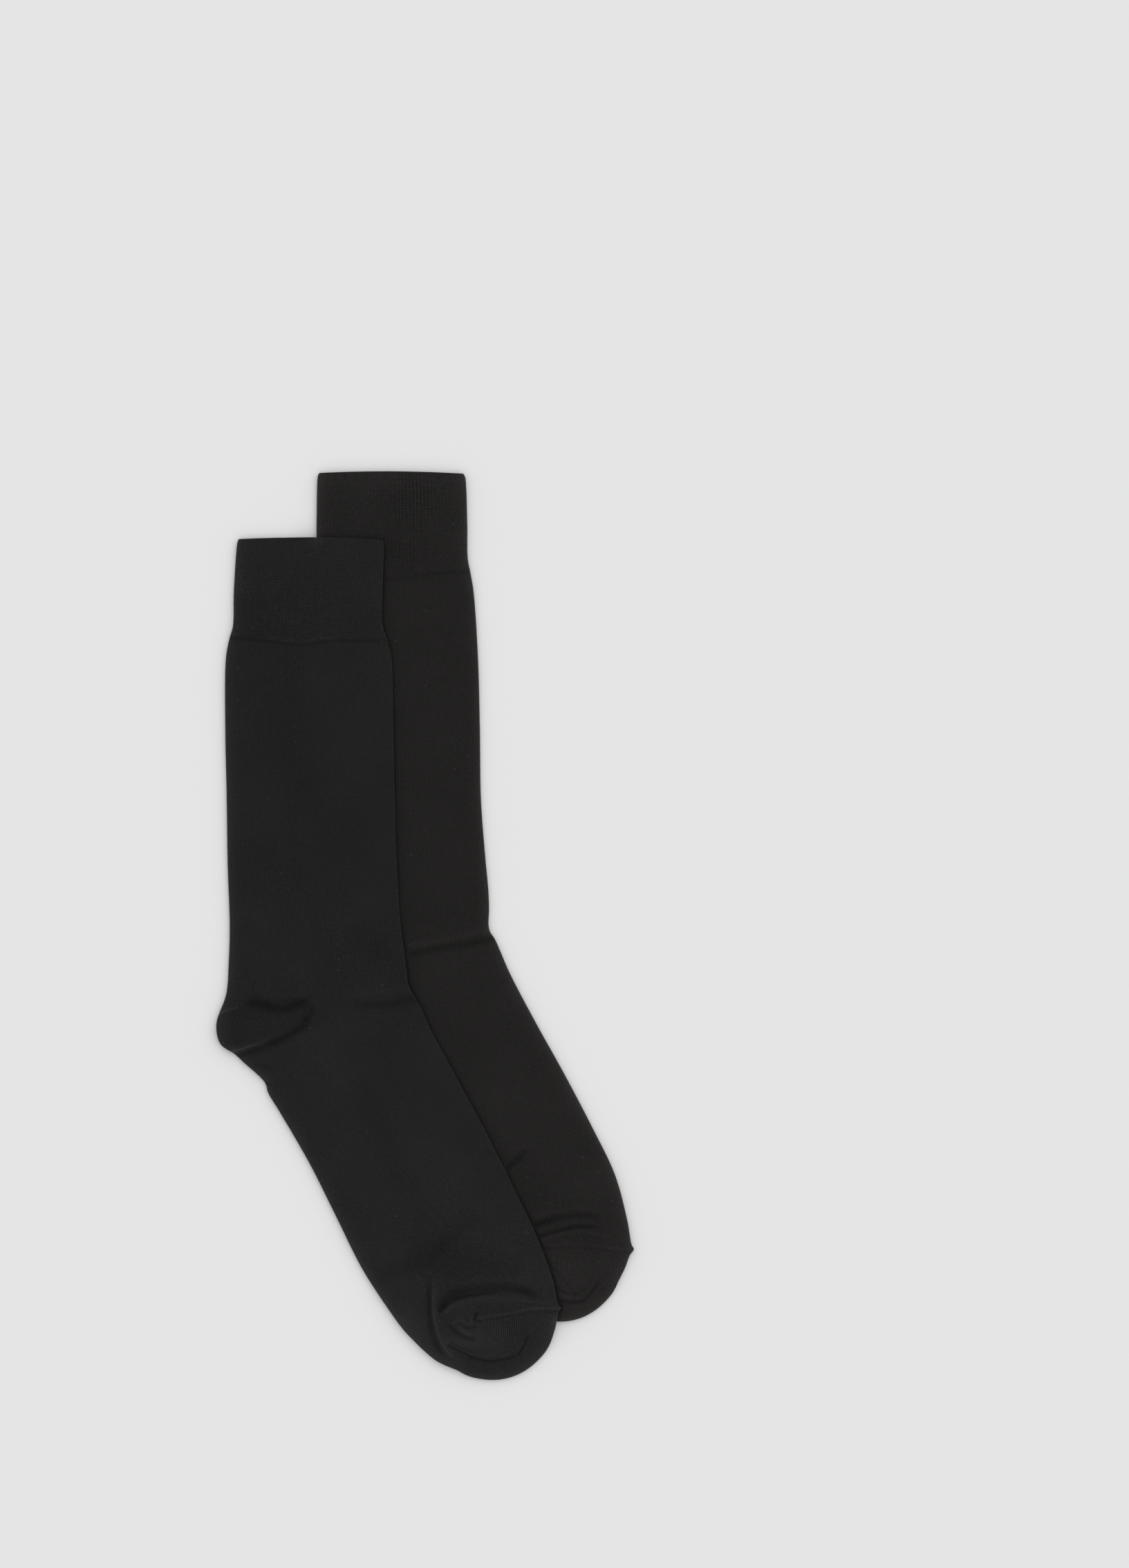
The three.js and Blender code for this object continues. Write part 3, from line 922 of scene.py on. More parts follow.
def plan_rings(sections: tuple[Section, ...], t: np.ndarray) -> Rings:
    """Rings of a sock at places t from 0 at the cuff to 1 at the toe tip.

    Args:
        sections: The sock's table of sections.
        t: Places of the rings, in equal shares of the table's rows.

    Returns:
        The rings, with no turning at the toe.
    """
    back = np.array([s.back for s in sections], dtype=float)
    instep = np.array([s.instep for s in sections], dtype=float)
    row = t * (len(sections) - 1)
    index = np.arange(len(sections))
    zeros = np.zeros(len(t))
    return Rings(
        back=curve_through(back, t),
        instep=curve_through(instep, t),
        bow=np.interp(row, index, [s.bow for s in sections]),
        rise=np.interp(row, index, [s.rise for s in sections]),
        push=zeros,
        lift=zeros + 1.0,
        trim=zeros,
        spread=np.interp(row, index, [s.spread for s in sections]),
    )


def row_places(sections: tuple[Section, ...], rows: int | None = None) -> np.ndarray:
    """Places of rings: the table's own count between sections, or the same count everywhere.

    Args:
        sections: The sock's sections.
        rows: Rings from each section to the next, or None for the table's own.

    Returns:
        Places from 0 at the cuff to 1 at the toe's tip.
    """
    last = len(sections) - 1
    shares = [k + np.arange(rows or s.rows) / (rows or s.rows) for k, s in enumerate(sections[:-1])]
    return np.concatenate([*shares, [float(last)]]) / last


def closing_rings(tip: Rings, radius: float) -> Rings:
    """Rings that turn the tip over its edge: a push of radius times sine, a lift of cosine.

    Args:
        tip: Rings whose last one is the tip.
        radius: Half the sock's thickness, in millimetres.

    Returns:
        One ring for each of the toe's turns.
    """
    turn = np.radians(TOE_TURNS)
    count = len(turn)
    return Rings(
        back=np.repeat(tip.back[-1:], count, axis=0),
        instep=np.repeat(tip.instep[-1:], count, axis=0),
        bow=np.repeat(tip.bow[-1:], count),
        rise=np.repeat(tip.rise[-1:], count),
        push=radius * np.sin(turn),
        lift=np.cos(turn),
        trim=TOE_TRIM * np.array(TOE_TURNS),
        spread=np.repeat(tip.spread[-1:], count),
    )


def joined(first: Rings, second: Rings) -> Rings:
    """Two sets of rings, one after the other."""
    names = [f.name for f in fields(Rings)]
    return Rings(*(np.concatenate([getattr(first, n), getattr(second, n)]) for n in names))


def plan_outline(sections: tuple[Section, ...]) -> np.ndarray:
    """A sock's closed outline in plan: up its back end, round the toe and along its instep end.

    Args:
        sections: The sock's sections.

    Returns:
        Points of shape (n, 2), in millimetres.
    """
    rings = plan_rings(sections, row_places(sections, OUTLINE_ROWS))
    tip = Rings(*(getattr(rings, f.name)[-1:] for f in fields(Rings)))
    along = tip.width()[:, None] * np.linspace(0, 1, 25)[None, 1:-1]
    toe = tip.place(along, SOCK_HEIGHT / 2)[0]
    return np.vstack([rings.back, toe, rings.instep[::-1]])


def cuff_top(sections: tuple[Section, ...]) -> float:
    """The highest Y of a sock's cuff edge, which bows away from the toe in the middle.

    Args:
        sections: The sock's sections.

    Returns:
        The Y in millimetres.
    """
    edge = plan_rings(sections, np.zeros(1))
    along = edge.width()[:, None] * np.linspace(0, 1, FACE_COLUMNS + 1)[None]
    return float(edge.place(along)[..., 1].max())


def painted_edge_highlight(points: np.ndarray, outlines: tuple[np.ndarray, np.ndarray]) -> np.ndarray:
    """How much painted highlight lies near the pair's outer edge.

    It falls with the distance from the pair's silhouette, as the exponential of minus the distance
    over EDGE_REACH. The silhouette is what of each outline lies outside the other, less its last
    side, which is the cuff's turned edge.

    Args:
        points: Points of shape (n, 2).
        outlines: Both socks' outlines.

    Returns:
        Shares from 0 to 1.
    """
    starts, legs = [], []
    for own, other in (outlines, outlines[::-1]):
        following = np.roll(own, -1, axis=0)
        bare = ~inside((own + following) / 2, other)
        bare[-1] = False
        starts.append(own[bare])
        legs.append((following - own)[bare])
    start, leg = np.concatenate(starts), np.concatenate(legs)
    squares = np.maximum((leg * leg).sum(axis=1), 1e-12)
    parts = [nearest_leg(part, start, leg, squares)[0] for part in np.array_split(points, CHUNKS)]
    return np.exp(-np.concatenate(parts) / EDGE_REACH)


class FloorLevel:
    """Height of what a sock lies on: the floor, or the other sock with a slope down beside it."""

    def __init__(self, beneath: np.ndarray | None) -> None:
        """Args:
        beneath: The outline of the sock beneath, or None on the bare floor.
        """
        self.beneath = beneath

    def at(self, points: np.ndarray) -> np.ndarray:
        """Level under points of the plan: full inside the outline, eased to nothing beside it.

        Args:
            points: Points of the plan, of shape (n, 2), in millimetres.

        Returns:
            Levels in millimetres.
        """
        if self.beneath is None:
            return np.zeros(len(points))
        gone = (away_from(points, self.beneath) - LAP_START) / LAP_RUN
        return LAP_HEIGHT * np.where(inside(points, self.beneath), 1.0, 1.0 - ease(gone))


@dataclass(frozen=True)
class Columns:
    """Places round a flattened section: curl of the rounded edge, share across, and height."""

    curl: np.ndarray
    share: np.ndarray
    height: np.ndarray

    @staticmethod
    def make() -> "Columns":
        """Columns from the back edge over the upper face to the instep edge and back below.

        Returns:
            The columns, with no repeated one.
        """
        turn = np.linspace(0, math.pi / 2, EDGE_COLUMNS + 1)[:-1]
        flat_up = np.linspace(0, 1, FACE_COLUMNS + 1)
        flat_down = np.linspace(1, 0, UNDER_COLUMNS + 1)
        back_turn = (math.pi / 2 - turn)[1:]
        curl = [1 - np.cos(turn), 1 + 0 * flat_up, 1 - np.cos(math.pi / 2 - turn)]
        share = [0 * turn, flat_up, 0 * turn + 1]
        height = [np.sin(turn), 1 + 0 * flat_up, np.sin(math.pi / 2 - turn)]
        curl[2], height[2], share[2] = curl[2][1:], height[2][1:], share[2][1:]
        curl += [1 - np.cos(turn), 1 + 0 * flat_down, 1 - np.cos(back_turn)]
        share += [0 * turn + 1, flat_down, 0 * back_turn]
        height += [-np.sin(turn), -1 + 0 * flat_down, -np.sin(back_turn)]
        return Columns(np.concatenate(curl), np.concatenate(share), np.concatenate(height))


def slit_faces(ring: np.ndarray, across: np.ndarray, turned: bool) -> list[tuple[int, ...]]:
    """Triangles that close a flattened ring, upper points to the lower ones beneath them.

    Each upper stretch goes to the lower point nearest its middle, and each lower stretch to the
    upper point at which that choice changes.

    Args:
        ring: Vertex numbers of the ring, with the first repeated at the end.
        across: Distance of each from the back end.
        turned: Whether the faces look into the hollow.

    Returns:
        Triangles as vertex numbers.
    """
    split = FACE_COLUMNS + 2 * EDGE_COLUMNS
    top, low = ring[: split + 1], ring[split:][::-1]
    top_at, low_at = across[: split + 1], across[split:][::-1]
    middles = (top_at[:-1] + top_at[1:]) / 2
    choice = np.searchsorted((low_at[:-1] + low_at[1:]) / 2, middles)
    meets = np.searchsorted(choice, np.arange(1, len(low)))
    upper = np.stack([top[:-1], low[choice], top[1:]], axis=1)
    lower = np.stack([top[np.minimum(meets, split)], low[:-1], low[1:]], axis=1)
    faces = np.vstack([upper, lower])
    whole = (faces[:, 0] != faces[:, 1]) & (faces[:, 1] != faces[:, 2]) & (faces[:, 0] != faces[:, 2])
    faces = faces[whole]
    return [tuple(face) for face in (faces[:, ::-1] if turned else faces).tolist()]


def ring_faces(rings: np.ndarray, turned: bool) -> np.ndarray:
    """Quads between neighbouring rings of vertex numbers, whose first column is repeated last.

    Args:
        rings: Vertex numbers of shape (rings, columns + 1).
        turned: Whether the faces look the other way.

    Returns:
        Vertex numbers of shape (quads, 4).
    """
    a, b = rings[:-1, :-1], rings[:-1, 1:]
    c, d = rings[1:, 1:], rings[1:, :-1]
    order = (a, b, c, d) if turned else (a, d, c, b)
    return np.stack(order, axis=-1).reshape(-1, 4)


def closed_columns(grid: np.ndarray) -> np.ndarray:
    """The grid with its first column repeated as a last one."""
    return np.concatenate([grid, grid[:, :1]], axis=1)


@dataclass
class Stitches:
    """Stitch coordinates of a sock: the number of the wale and of the course at each point."""

    sections: tuple[Section, ...]
    cuff_line: np.ndarray

    def instep_edge(self, y: np.ndarray) -> np.ndarray:
        """Where the outline's instep side is at a height y of the plan.

        Args:
            y: Heights in the plan, in millimetres.

        Returns:
            The X at each of them.
        """
        outline = plan_outline(self.sections)
        tip = outline[:, 1].argmin()
        edge = outline[tip:]
        return np.interp(y, edge[:, 1], edge[:, 0])

    def heel(self, points: np.ndarray) -> np.ndarray:
        """Wales of the heel pouch, which bend at its gore line like arrows.

        With a along the gore and b across it, a wale is where a less f(b) is a constant times the
        pitch. f climbs above the gore and bends upright, where the wales also draw closer, and it
        runs back evenly below the gore, where the pitch is smaller.

        Args:
            points: Points of shape (n, 2).

        Returns:
            Wale and course numbers, of shape (n, 2).
        """
        tilt = math.radians(GORE_TILT)
        off = points - np.array(GORE_END)
        a = off[:, 0] * math.cos(tilt) + off[:, 1] * math.sin(tilt)
        b = off[:, 1] * math.cos(tilt) - off[:, 0] * math.sin(tilt)
        bent = np.clip(b, 0, HEEL_BEND)
        upper = HEEL_CLIMB * bent - HEEL_CLIMB_LOSS * bent**2
        upper = upper + HEEL_UPRIGHT * (np.maximum(b, HEEL_BEND) - HEEL_BEND)
        lower = HEEL_FALL * -np.minimum(b, 0)
        pitch = np.where(b > 0, HEEL_UPPER_WALE - HEEL_WALE_CLOSING * bent, HEEL_WALE)
        wale = (a - HEEL_MIDDLE - upper - lower) / pitch
        return np.stack([wale, np.abs(b) / COURSE], axis=1)

    def toe_cap(self, points: np.ndarray) -> np.ndarray:
        """Wales of the toe pocket's top: upright, but closer together and along the edge near it.

        Args:
            points: Points of the plan, of shape (n, 2), in millimetres.

        Returns:
            Wale and course numbers, of shape (n, 2).
        """
        seam_y = next(s.instep[1] for s in self.sections if s.at == "seam end")
        edge = self.instep_edge(points[:, 1])
        widest = float(self.instep_edge(np.array([seam_y]))[0])
        follow = np.exp(-(((edge - points[:, 0]) / CAP_FOLLOW) ** 2))
        inward = widest - points[:, 0] - (widest - edge) * follow
        crowd = CAP_CROWD * (1 - np.exp(-np.maximum(inward, 0) / CAP_CROWD_REACH))
        wale = inward / CAP_WALE + crowd
        return np.stack([wale, (seam_y - points[:, 1]) / COURSE], axis=1)

    def toe_band(self, points: np.ndarray) -> np.ndarray:
        """Wales that run in from the outline: counted along it, with courses by the distance."""
        lie = distance_to_run(points, plan_outline(self.sections))
        return np.stack([lie.travelled / POCKET_WALE, lie.away / COURSE], axis=1)

    def toe_side(self, points: np.ndarray) -> np.ndarray:
        """Wales of the toe pocket's side, which run across the gore.

        Args:
            points: Points of the plan, of shape (n, 2), in millimetres.

        Returns:
            Wale and course numbers, of shape (n, 2).
        """
        off = points - np.array(self.sections[-1].back)
        turn = math.radians(SIDE_TURN)
        across = off[:, 0] * math.sin(turn) + off[:, 1] * math.cos(turn)
        along = off[:, 0] * math.cos(turn) - off[:, 1] * math.sin(turn)
        return np.stack([across / POCKET_WALE, along / COURSE], axis=1)

    def patch(self, patch: Patch, points: np.ndarray) -> np.ndarray:
        """Wale and course numbers of one patch.

        Args:
            patch: The stretch of knitting.
            points: Points of the plan, of shape (n, 2), in millimetres.

        Returns:
            Numbers of shape (n, 2).
        """
        makers = {
            Patch.HEEL: self.heel,
            Patch.TOE_CAP: self.toe_cap,
            Patch.TOE_SIDE: self.toe_side,
            Patch.TOE_BAND: self.toe_band,
        }
        return makers[patch](points)


@dataclass
class Sock:
    """One sock: a closed wall of cloth, open at the cuff, with its folds in its upper face."""

    name: str
    node: str
    sections: tuple[Section, ...]
    creases: tuple[Crease, ...]
    hidden: tuple[Crease, ...]
    areas: tuple[Area, ...]
    cuff_line: tuple[Point, ...]
    floor: FloorLevel
    shift: np.ndarray
    phase: float
    openings: tuple[Opening, ...]
    outlines: tuple[np.ndarray, np.ndarray]
    covered_by: np.ndarray | None = None
    radius: float = SOCK_HEIGHT / 2
    columns: Columns = field(default_factory=Columns.make)

    def line_height(self, points: np.ndarray) -> np.ndarray:
        """How far points of the plan lie above the cuff line."""
        line = curve_through(np.array(self.cuff_line, dtype=float), np.linspace(0, 1, CUFF_LINE_STEPS))
        return points[:, 1] - np.interp(points[:, 0], line[:, 0], line[:, 1])

    def cuff_height(self, points: np.ndarray) -> np.ndarray:
        """The cuff's own rise: a full step above the cuff line, with a small lip on the line.

        Args:
            points: Points of the plan, of shape (n, 2), in millimetres.

        Returns:
            Heights in millimetres.
        """
        above = self.line_height(points)
        lip = CUFF_LIP * np.exp(-2 * ((above - CUFF_LIP_AT) / CUFF_LIP_HALF) ** 2)
        return CUFF_RISE * ease((above + CUFF_STEP / 2) / CUFF_STEP) + lip

    def relief(self, points: np.ndarray, rise: np.ndarray) -> np.ndarray:
        """Height of the upper face's folds, faded out where the other sock covers them."""
        height = fold_fields(points, self.creases)[0] + soft_waves(points, self.phase) + rise
        return np.clip(height * self.bare(points), LOWEST_FOLD, HIGHEST_FOLD) + self.cuff_height(points)

    def bare(self, points: np.ndarray) -> np.ndarray:
        """1 where nothing covers the sock and 0 under the other one, with a short slope between.

        Args:
            points: Points of the plan, of shape (n, 2), in millimetres.

        Returns:
            Shares from 0 to 1.
        """
        if self.covered_by is None:
            return np.ones(len(points))
        away = away_from(points, self.covered_by)
        return np.where(inside(points, self.covered_by), 0.0, ease(away / COVER_SLOPE))

    def shade(self, points: np.ndarray) -> np.ndarray:
        """Painted shadow along the edge of the sock that covers this one, deeper where the two part.

        It is the least darkness plus the added one times the places' own shares, all times
        exp(-q squared), where q is the distance from that edge over SHADE_REACH.

        Args:
            points: Points of the plan, of shape (n, 2), in millimetres.

        Returns:
            Darkness, one value for each point.
        """
        if self.covered_by is None:
            return np.zeros(len(points))
        away = away_from(points, self.covered_by) / SHADE_REACH
        return (SHADE_LEAST + SHADE_ADDED * openness(points, SHADE_PLACES)) * np.exp(-(away**2))

    def wall(self, rings: Rings, inset: float, radius: float, relief: bool) -> np.ndarray:
        """Points of one wall.

        A column's distance along its ring is the inset and the curl of its rounded edge from the
        nearer end. Its height is half the sock's height plus the radius times the column's height,
        over the level of what lies beneath, and the upper face adds its folds.

        Args:
            rings: The rings.
            inset: Distance of the wall from the outline.
            radius: Half the distance between its upper and lower face.
            relief: Whether the folds are in this wall.

        Returns:
            Points of shape (rings, columns, 3), in millimetres of the layout.
        """
        c = self.columns
        curl = (inset + rings.trim)[:, None] + radius * c.curl[None]
        along = curl * (1 - 2 * c.share[None]) + c.share[None] * rings.width()[:, None]
        plan = rings.place(along, rings.push[:, None])
        flat = plan.reshape(-1, 2)
        lift = c.height[None] * rings.lift[:, None]
        z = self.floor.at(flat).reshape(lift.shape) + SOCK_HEIGHT / 2 + radius * lift
        if relief:
            shape = lift.shape
            rise = np.broadcast_to(rings.rise[:, None], shape).ravel()
            upper = np.maximum(lift, 0) * self.relief(flat, rise).reshape(shape)
            lower = np.maximum(-lift, 0) * fold_fields(flat, self.hidden)[0].reshape(shape)
            z = z + upper + lower
        return np.concatenate([plan, z[..., None]], axis=-1)

    def stitch_grid(self, rings: Rings) -> np.ndarray:
        """Wale and course numbers of a wall.

        A wale is its share of the width times the wales of a face, counted on round the lower
        face. The share first gains the spread times a full sine wave over the width. A course is the
        length travelled down the middle of the rings over its height.

        Args:
            rings: The rings of that wall.

        Returns:
            Numbers of shape (rings, columns + 1, 2), the first column repeated after a full turn.
        """
        c = self.columns
        split = FACE_COLUMNS + 2 * EDGE_COLUMNS
        edge = self.radius * c.curl[None] / rings.width()[:, None]
        across = edge * (1 - 2 * c.share[None]) + c.share[None]
        across = across + rings.spread[:, None] * np.sin(2 * math.pi * across) / (2 * math.pi)
        index = np.arange(across.shape[1])[None]
        wale = np.where(index <= split, across, 2 - across) * FACE_WALES
        wale = np.concatenate([wale, np.full((len(wale), 1), 2.0 * FACE_WALES)], axis=1)
        middle = (rings.back + rings.instep) / 2 + rings.push[:, None] * [[0.0, -1.0]]
        steps = np.linalg.norm(np.diff(middle, axis=0), axis=1)
        course = np.concatenate([[0.0], np.cumsum(steps)])[:, None] / COURSE
        return np.stack([wale, np.broadcast_to(course, wale.shape)], axis=-1)

    def rim(self, outer: np.ndarray, inner: np.ndarray, rings: Rings) -> np.ndarray:
        """Rings that round the cuff's edge: half a turn about the middle of the wall.

        Args:
            outer: Points of the outer wall's rings.
            inner: Points of the inner wall's rings.
            rings: The outer wall's rings.

        Returns:
            Points of shape (turns, columns, 3).
        """
        chord = (rings.instep[0] - rings.back[0]) / rings.width()[0]
        toeward = np.array([chord[1], -chord[0], 0.0])
        middle, half = (outer[0] + inner[0]) / 2, (outer[0] - inner[0]) / 2
        turn = np.radians(RIM_TURNS)[:, None, None]
        return middle + half * np.cos(turn) - toeward * (WALL / 2) * np.sin(turn)

    def build(self) -> bpy.types.Object:
        """Makes the sock's mesh, with stitch coordinates as its UV map and a patch on each face.

        Returns:
            The sock's object, with no material yet.
        """
        plan = plan_rings(self.sections, row_places(self.sections))
        outer_rings = joined(plan, closing_rings(plan, self.radius))
        inner_rings = plan_rings(self.sections, row_places(self.sections, INNER_ROWS)[:-1])
        outer = self.wall(outer_rings, 0.0, self.radius, relief=True)
        inner = self.wall(inner_rings, WALL, HOLLOW / 2, relief=False)
        rim = self.rim(outer, inner, outer_rings)

        stack = np.concatenate([inner[::-1], rim[::-1], outer])
        count = stack.shape[1]
        numbers = closed_columns(np.arange(stack.shape[0] * count).reshape(stack.shape[:2]))
        quads = ring_faces(numbers, turned=False)

        inner_map, outer_map = self.stitch_grid(inner_rings), self.stitch_grid(outer_rings)
        share = (len(RIM_TURNS) - np.arange(len(RIM_TURNS)))[:, None, None] * [[[0.0, RIM_COURSE]]]
        rim_map = outer_map[:1] - share
        inner_map = inner_map * [1.0, -1.0] - [0.0, RIM_COURSE * len(RIM_TURNS) + RIM_COURSE]
        grid_map = np.concatenate([inner_map[::-1], rim_map, outer_map])
        quad_maps = ring_faces(np.arange(grid_map.shape[0] * (count + 1)).reshape(grid_map.shape[:2]), False)
        corner_map = grid_map.reshape(-1, 2)[quad_maps]

        plan_xy = closed_columns(stack)[..., :2].reshape(-1, 2)
        corners = plan_xy[quad_maps]
        centres = corners.mean(axis=1)
        first_outer = (len(inner_rings.back) + len(RIM_TURNS)) * count
        column = np.arange(len(quads)) % count
        upper = (np.arange(len(quads)) >= first_outer) & (column < FACE_COLUMNS + 2 * EDGE_COLUMNS)
        patches = np.where(self.line_height(centres) > 0, Patch.CUFF.value, Patch.PLAIN.value)
        stitches = Stitches(self.sections, np.array(self.cuff_line))
        for area in self.areas:
            chosen = np.flatnonzero(upper & inside(centres, np.array(area.outline, dtype=float)))
            patches[chosen] = area.patch.value
            flat = corners[chosen].reshape(-1, 2)
            corner_map[chosen] = stitches.patch(area.patch, flat).reshape(-1, 4, 2)

        ends = slit_faces(numbers[-1], self.across(outer_rings), turned=False)
        ends += slit_faces(numbers[0], self.across(inner_rings, WALL, HOLLOW / 2), turned=True)
        faces = [tuple(face) for face in quads.tolist()] + ends
        flat_map = grid_map[:, :-1].reshape(-1, 2)
        end_map = flat_map[np.array(ends).reshape(-1)]
        loops = np.vstack([corner_map.reshape(-1, 2), end_map])
        patches = np.concatenate([patches, np.full(len(ends), Patch.PLAIN.value)])

        points = stack.reshape(-1, 3) + [self.shift[0], self.shift[1], 0.0]
        mesh = bpy.data.meshes.new(self.name)
        mesh.from_pydata((points * MM).tolist(), [], faces)
        layer = mesh.uv_layers.new(name="stitches")
        layer.data.foreach_set("uv", loops.astype(np.float32).ravel())
        painted_shading, opened = self.surface_fields(stack, first_outer // count)
        for label, values in (("painted_light", painted_shading), ("open_wales", opened)):
            attribute = mesh.attributes.new(label, "FLOAT", "POINT")
            attribute.data.foreach_set("value", values.astype(np.float32))
        mesh.polygons.foreach_set("material_index", patches.astype(np.int32))
        mesh.polygons.foreach_set("use_smooth", np.ones(len(faces), dtype=bool))
        mesh.update()
        piece = bpy.data.objects.new(self.name, mesh)
        bpy.context.scene.collection.objects.link(piece)
        triangles = 2 * len(quads) + len(ends)
        log.info("%s: %d points, %d triangles", self.name, len(points), triangles)
        return piece

    def surface_fields(self, stack: np.ndarray, inner_rows: int) -> tuple[np.ndarray, np.ndarray]:
        """How light the cloth is painted at each point, and how far its wales stand open there.

        The painted light is the exponential of the folds' painted shade and highlight, less the painted
        shadow beside the sock above, times 1 plus the painted highlight along the pair's outer edge.

        Args:
            stack: Points of all the rings, in millimetres.
            inner_rows: How many of the first rings line the hollow, which has no folds.

        Returns:
            The two fields, flattened.
        """
        flat = stack[..., :2].reshape(-1, 2)
        count = stack.shape[1]
        outside = np.repeat(np.arange(stack.shape[0]) >= inner_rows, count)
        lift = np.tile(self.columns.height, stack.shape[0])
        upper, lower = outside * np.maximum(lift, 0), outside * np.maximum(-lift, 0)
        # Painted shade and highlight of the folds, less the painted shadow beside the sock above, and the
        # lower faces' painted shade
        tone = upper * (fold_fields(flat, self.creases)[1] * self.bare(flat) - self.shade(flat))
        tone = tone + lower * fold_fields(flat, self.hidden)[1]
        # Painted highlight along the pair's outer edge
        edge = PAINTED_EDGE_LIGHT * painted_edge_highlight(flat, self.outlines) * outside
        return np.exp(TONE_STRENGTH * tone) * (1 + edge), openness(flat, self.openings)

    def across(self, rings: Rings, inset: float = 0.0, radius: float | None = None) -> np.ndarray:
        """Distances of the last ring's columns from its back end, with the first repeated.

        Args:
            rings: The wall's rings.
            inset: How far in from the outline the wall lies.
            radius: Half the wall's height, or None for the sock's own.

        Returns:
            Distances in millimetres.
        """
        c = self.columns
        curl = inset + rings.trim[-1] + (self.radius if radius is None else radius) * c.curl
        along = curl * (1 - 2 * c.share) + c.share * rings.width()[-1]
        return np.concatenate([along, along[:1]])


class Board:
    """Lays nodes on a node tree and wires them."""

    def __init__(self, tree: bpy.types.NodeTree) -> None:
        """Args:
        tree: The tree to lay nodes on.
        """
        self.tree = tree

    def node(self, kind: str, **settings: Any) -> bpy.types.Node:
        """Adds a node and sets its own settings.

        Args:
            kind: The node's type.
            settings: Its properties and their values.

        Returns:
            The new node.
        """
        made = self.tree.nodes.new(kind)
        for key, value in settings.items():
            setattr(made, key, value)
        return made

    def feed(self, value: Any, socket: bpy.types.NodeSocket) -> None:
        """Links a socket to an input, or sets the input's value.

        Args:
            value: An output socket, or a constant.
            socket: The input.
        """
        if isinstance(value, bpy.types.NodeSocket):
            self.tree.links.new(value, socket)
        else:
            socket.default_value = value

    def maths(self, operation: str, *values: Any) -> bpy.types.NodeSocket:
        """A Math node on one, two or three values.

        Args:
            operation: The node's operation.
            values: Its inputs: sockets or constants.

        Returns:
            The node's output.
        """
        made = self.node("ShaderNodeMath", operation=operation)
        for value, socket in zip(values, made.inputs):
            self.feed(value, socket)
        return made.outputs[0]

    def spread(self, value: Any, low: float, high: float, start: float, end: float) -> bpy.types.NodeSocket:
        """Carries a value from low to high over to start to end, smoothly and clamped.

        Args:
            value: What is carried over.
            low: The value that gives start.
            high: The value that gives end.
            start: The result at low.
            end: The result at high.

        Returns:
            The node's output.
        """
        made = self.node("ShaderNodeMapRange", interpolation_type="SMOOTHSTEP")
        for item, socket in zip((value, low, high, start, end), made.inputs):
            self.feed(item, socket)
        return made.outputs[0]

    def noise(self, vector: Any, scale: float, detail: float) -> bpy.types.NodeSocket:
        """The value of a noise texture.

        Args:
            vector: The place.
            scale: The texture's scale.
            detail: Its number of octaves.

        Returns:
            The node's output.
        """
        made = self.node("ShaderNodeTexNoise")
        self.feed(vector, made.inputs["Vector"])
        made.inputs["Scale"].default_value = scale
        made.inputs["Detail"].default_value = detail
        return made.outputs["Fac"]

    def mix(self, share: Any, first: Any, second: Any) -> bpy.types.NodeSocket:
        """A mix of two colours.

        Args:
            share: How much of the second colour.
            first: The first colour.
            second: The second colour.

        Returns:
            The node's output.
        """
        made = self.node("ShaderNodeMix", data_type="RGBA")
        self.feed(share, made.inputs[0])
        self.feed(first, made.inputs[6])
        self.feed(second, made.inputs[7])
        return made.outputs[2]

    def place(self, group: bpy.types.NodeTree, values: dict[str, Any]) -> bpy.types.bpy_prop_collection:
        """Places a node group with its own values, and gives its outputs.

        Args:
            group: The node group.
            values: Its inputs by name: sockets or constants.

        Returns:
            The outputs by name.
        """
        made = self.node("ShaderNodeGroup", node_tree=group)
        for label, value in values.items():
            self.feed(value, made.inputs[label])
        return made.outputs


def new_group(name: str, inputs: dict[str, str], outputs: dict[str, str]) -> tuple[Board, Any, Any]:
    """A node group with named sockets.

    Args:
        name: The group's name.
        inputs: Kind of each input socket, by name.
        outputs: Kind of each output socket, by name.

    Returns:
        The board of the group, its input node's outputs and its output node's inputs.
    """
    tree = bpy.data.node_groups.new(name, "ShaderNodeTree")
    for label, kind in inputs.items():
        tree.interface.new_socket(name=label, in_out="INPUT", socket_type=kind)
    for label, kind in outputs.items():
        tree.interface.new_socket(name=label, in_out="OUTPUT", socket_type=kind)
    board = Board(tree)
    return board, board.node("NodeGroupInput").outputs, board.node("NodeGroupOutput").inputs


HEATHER = ((1.035, 0.98, 1.04, 1.0), (0.965, 1.02, 0.955, 1.0))
VALUE, VECTOR, COLOUR = "NodeSocketFloat", "NodeSocketVector", "NodeSocketColor"


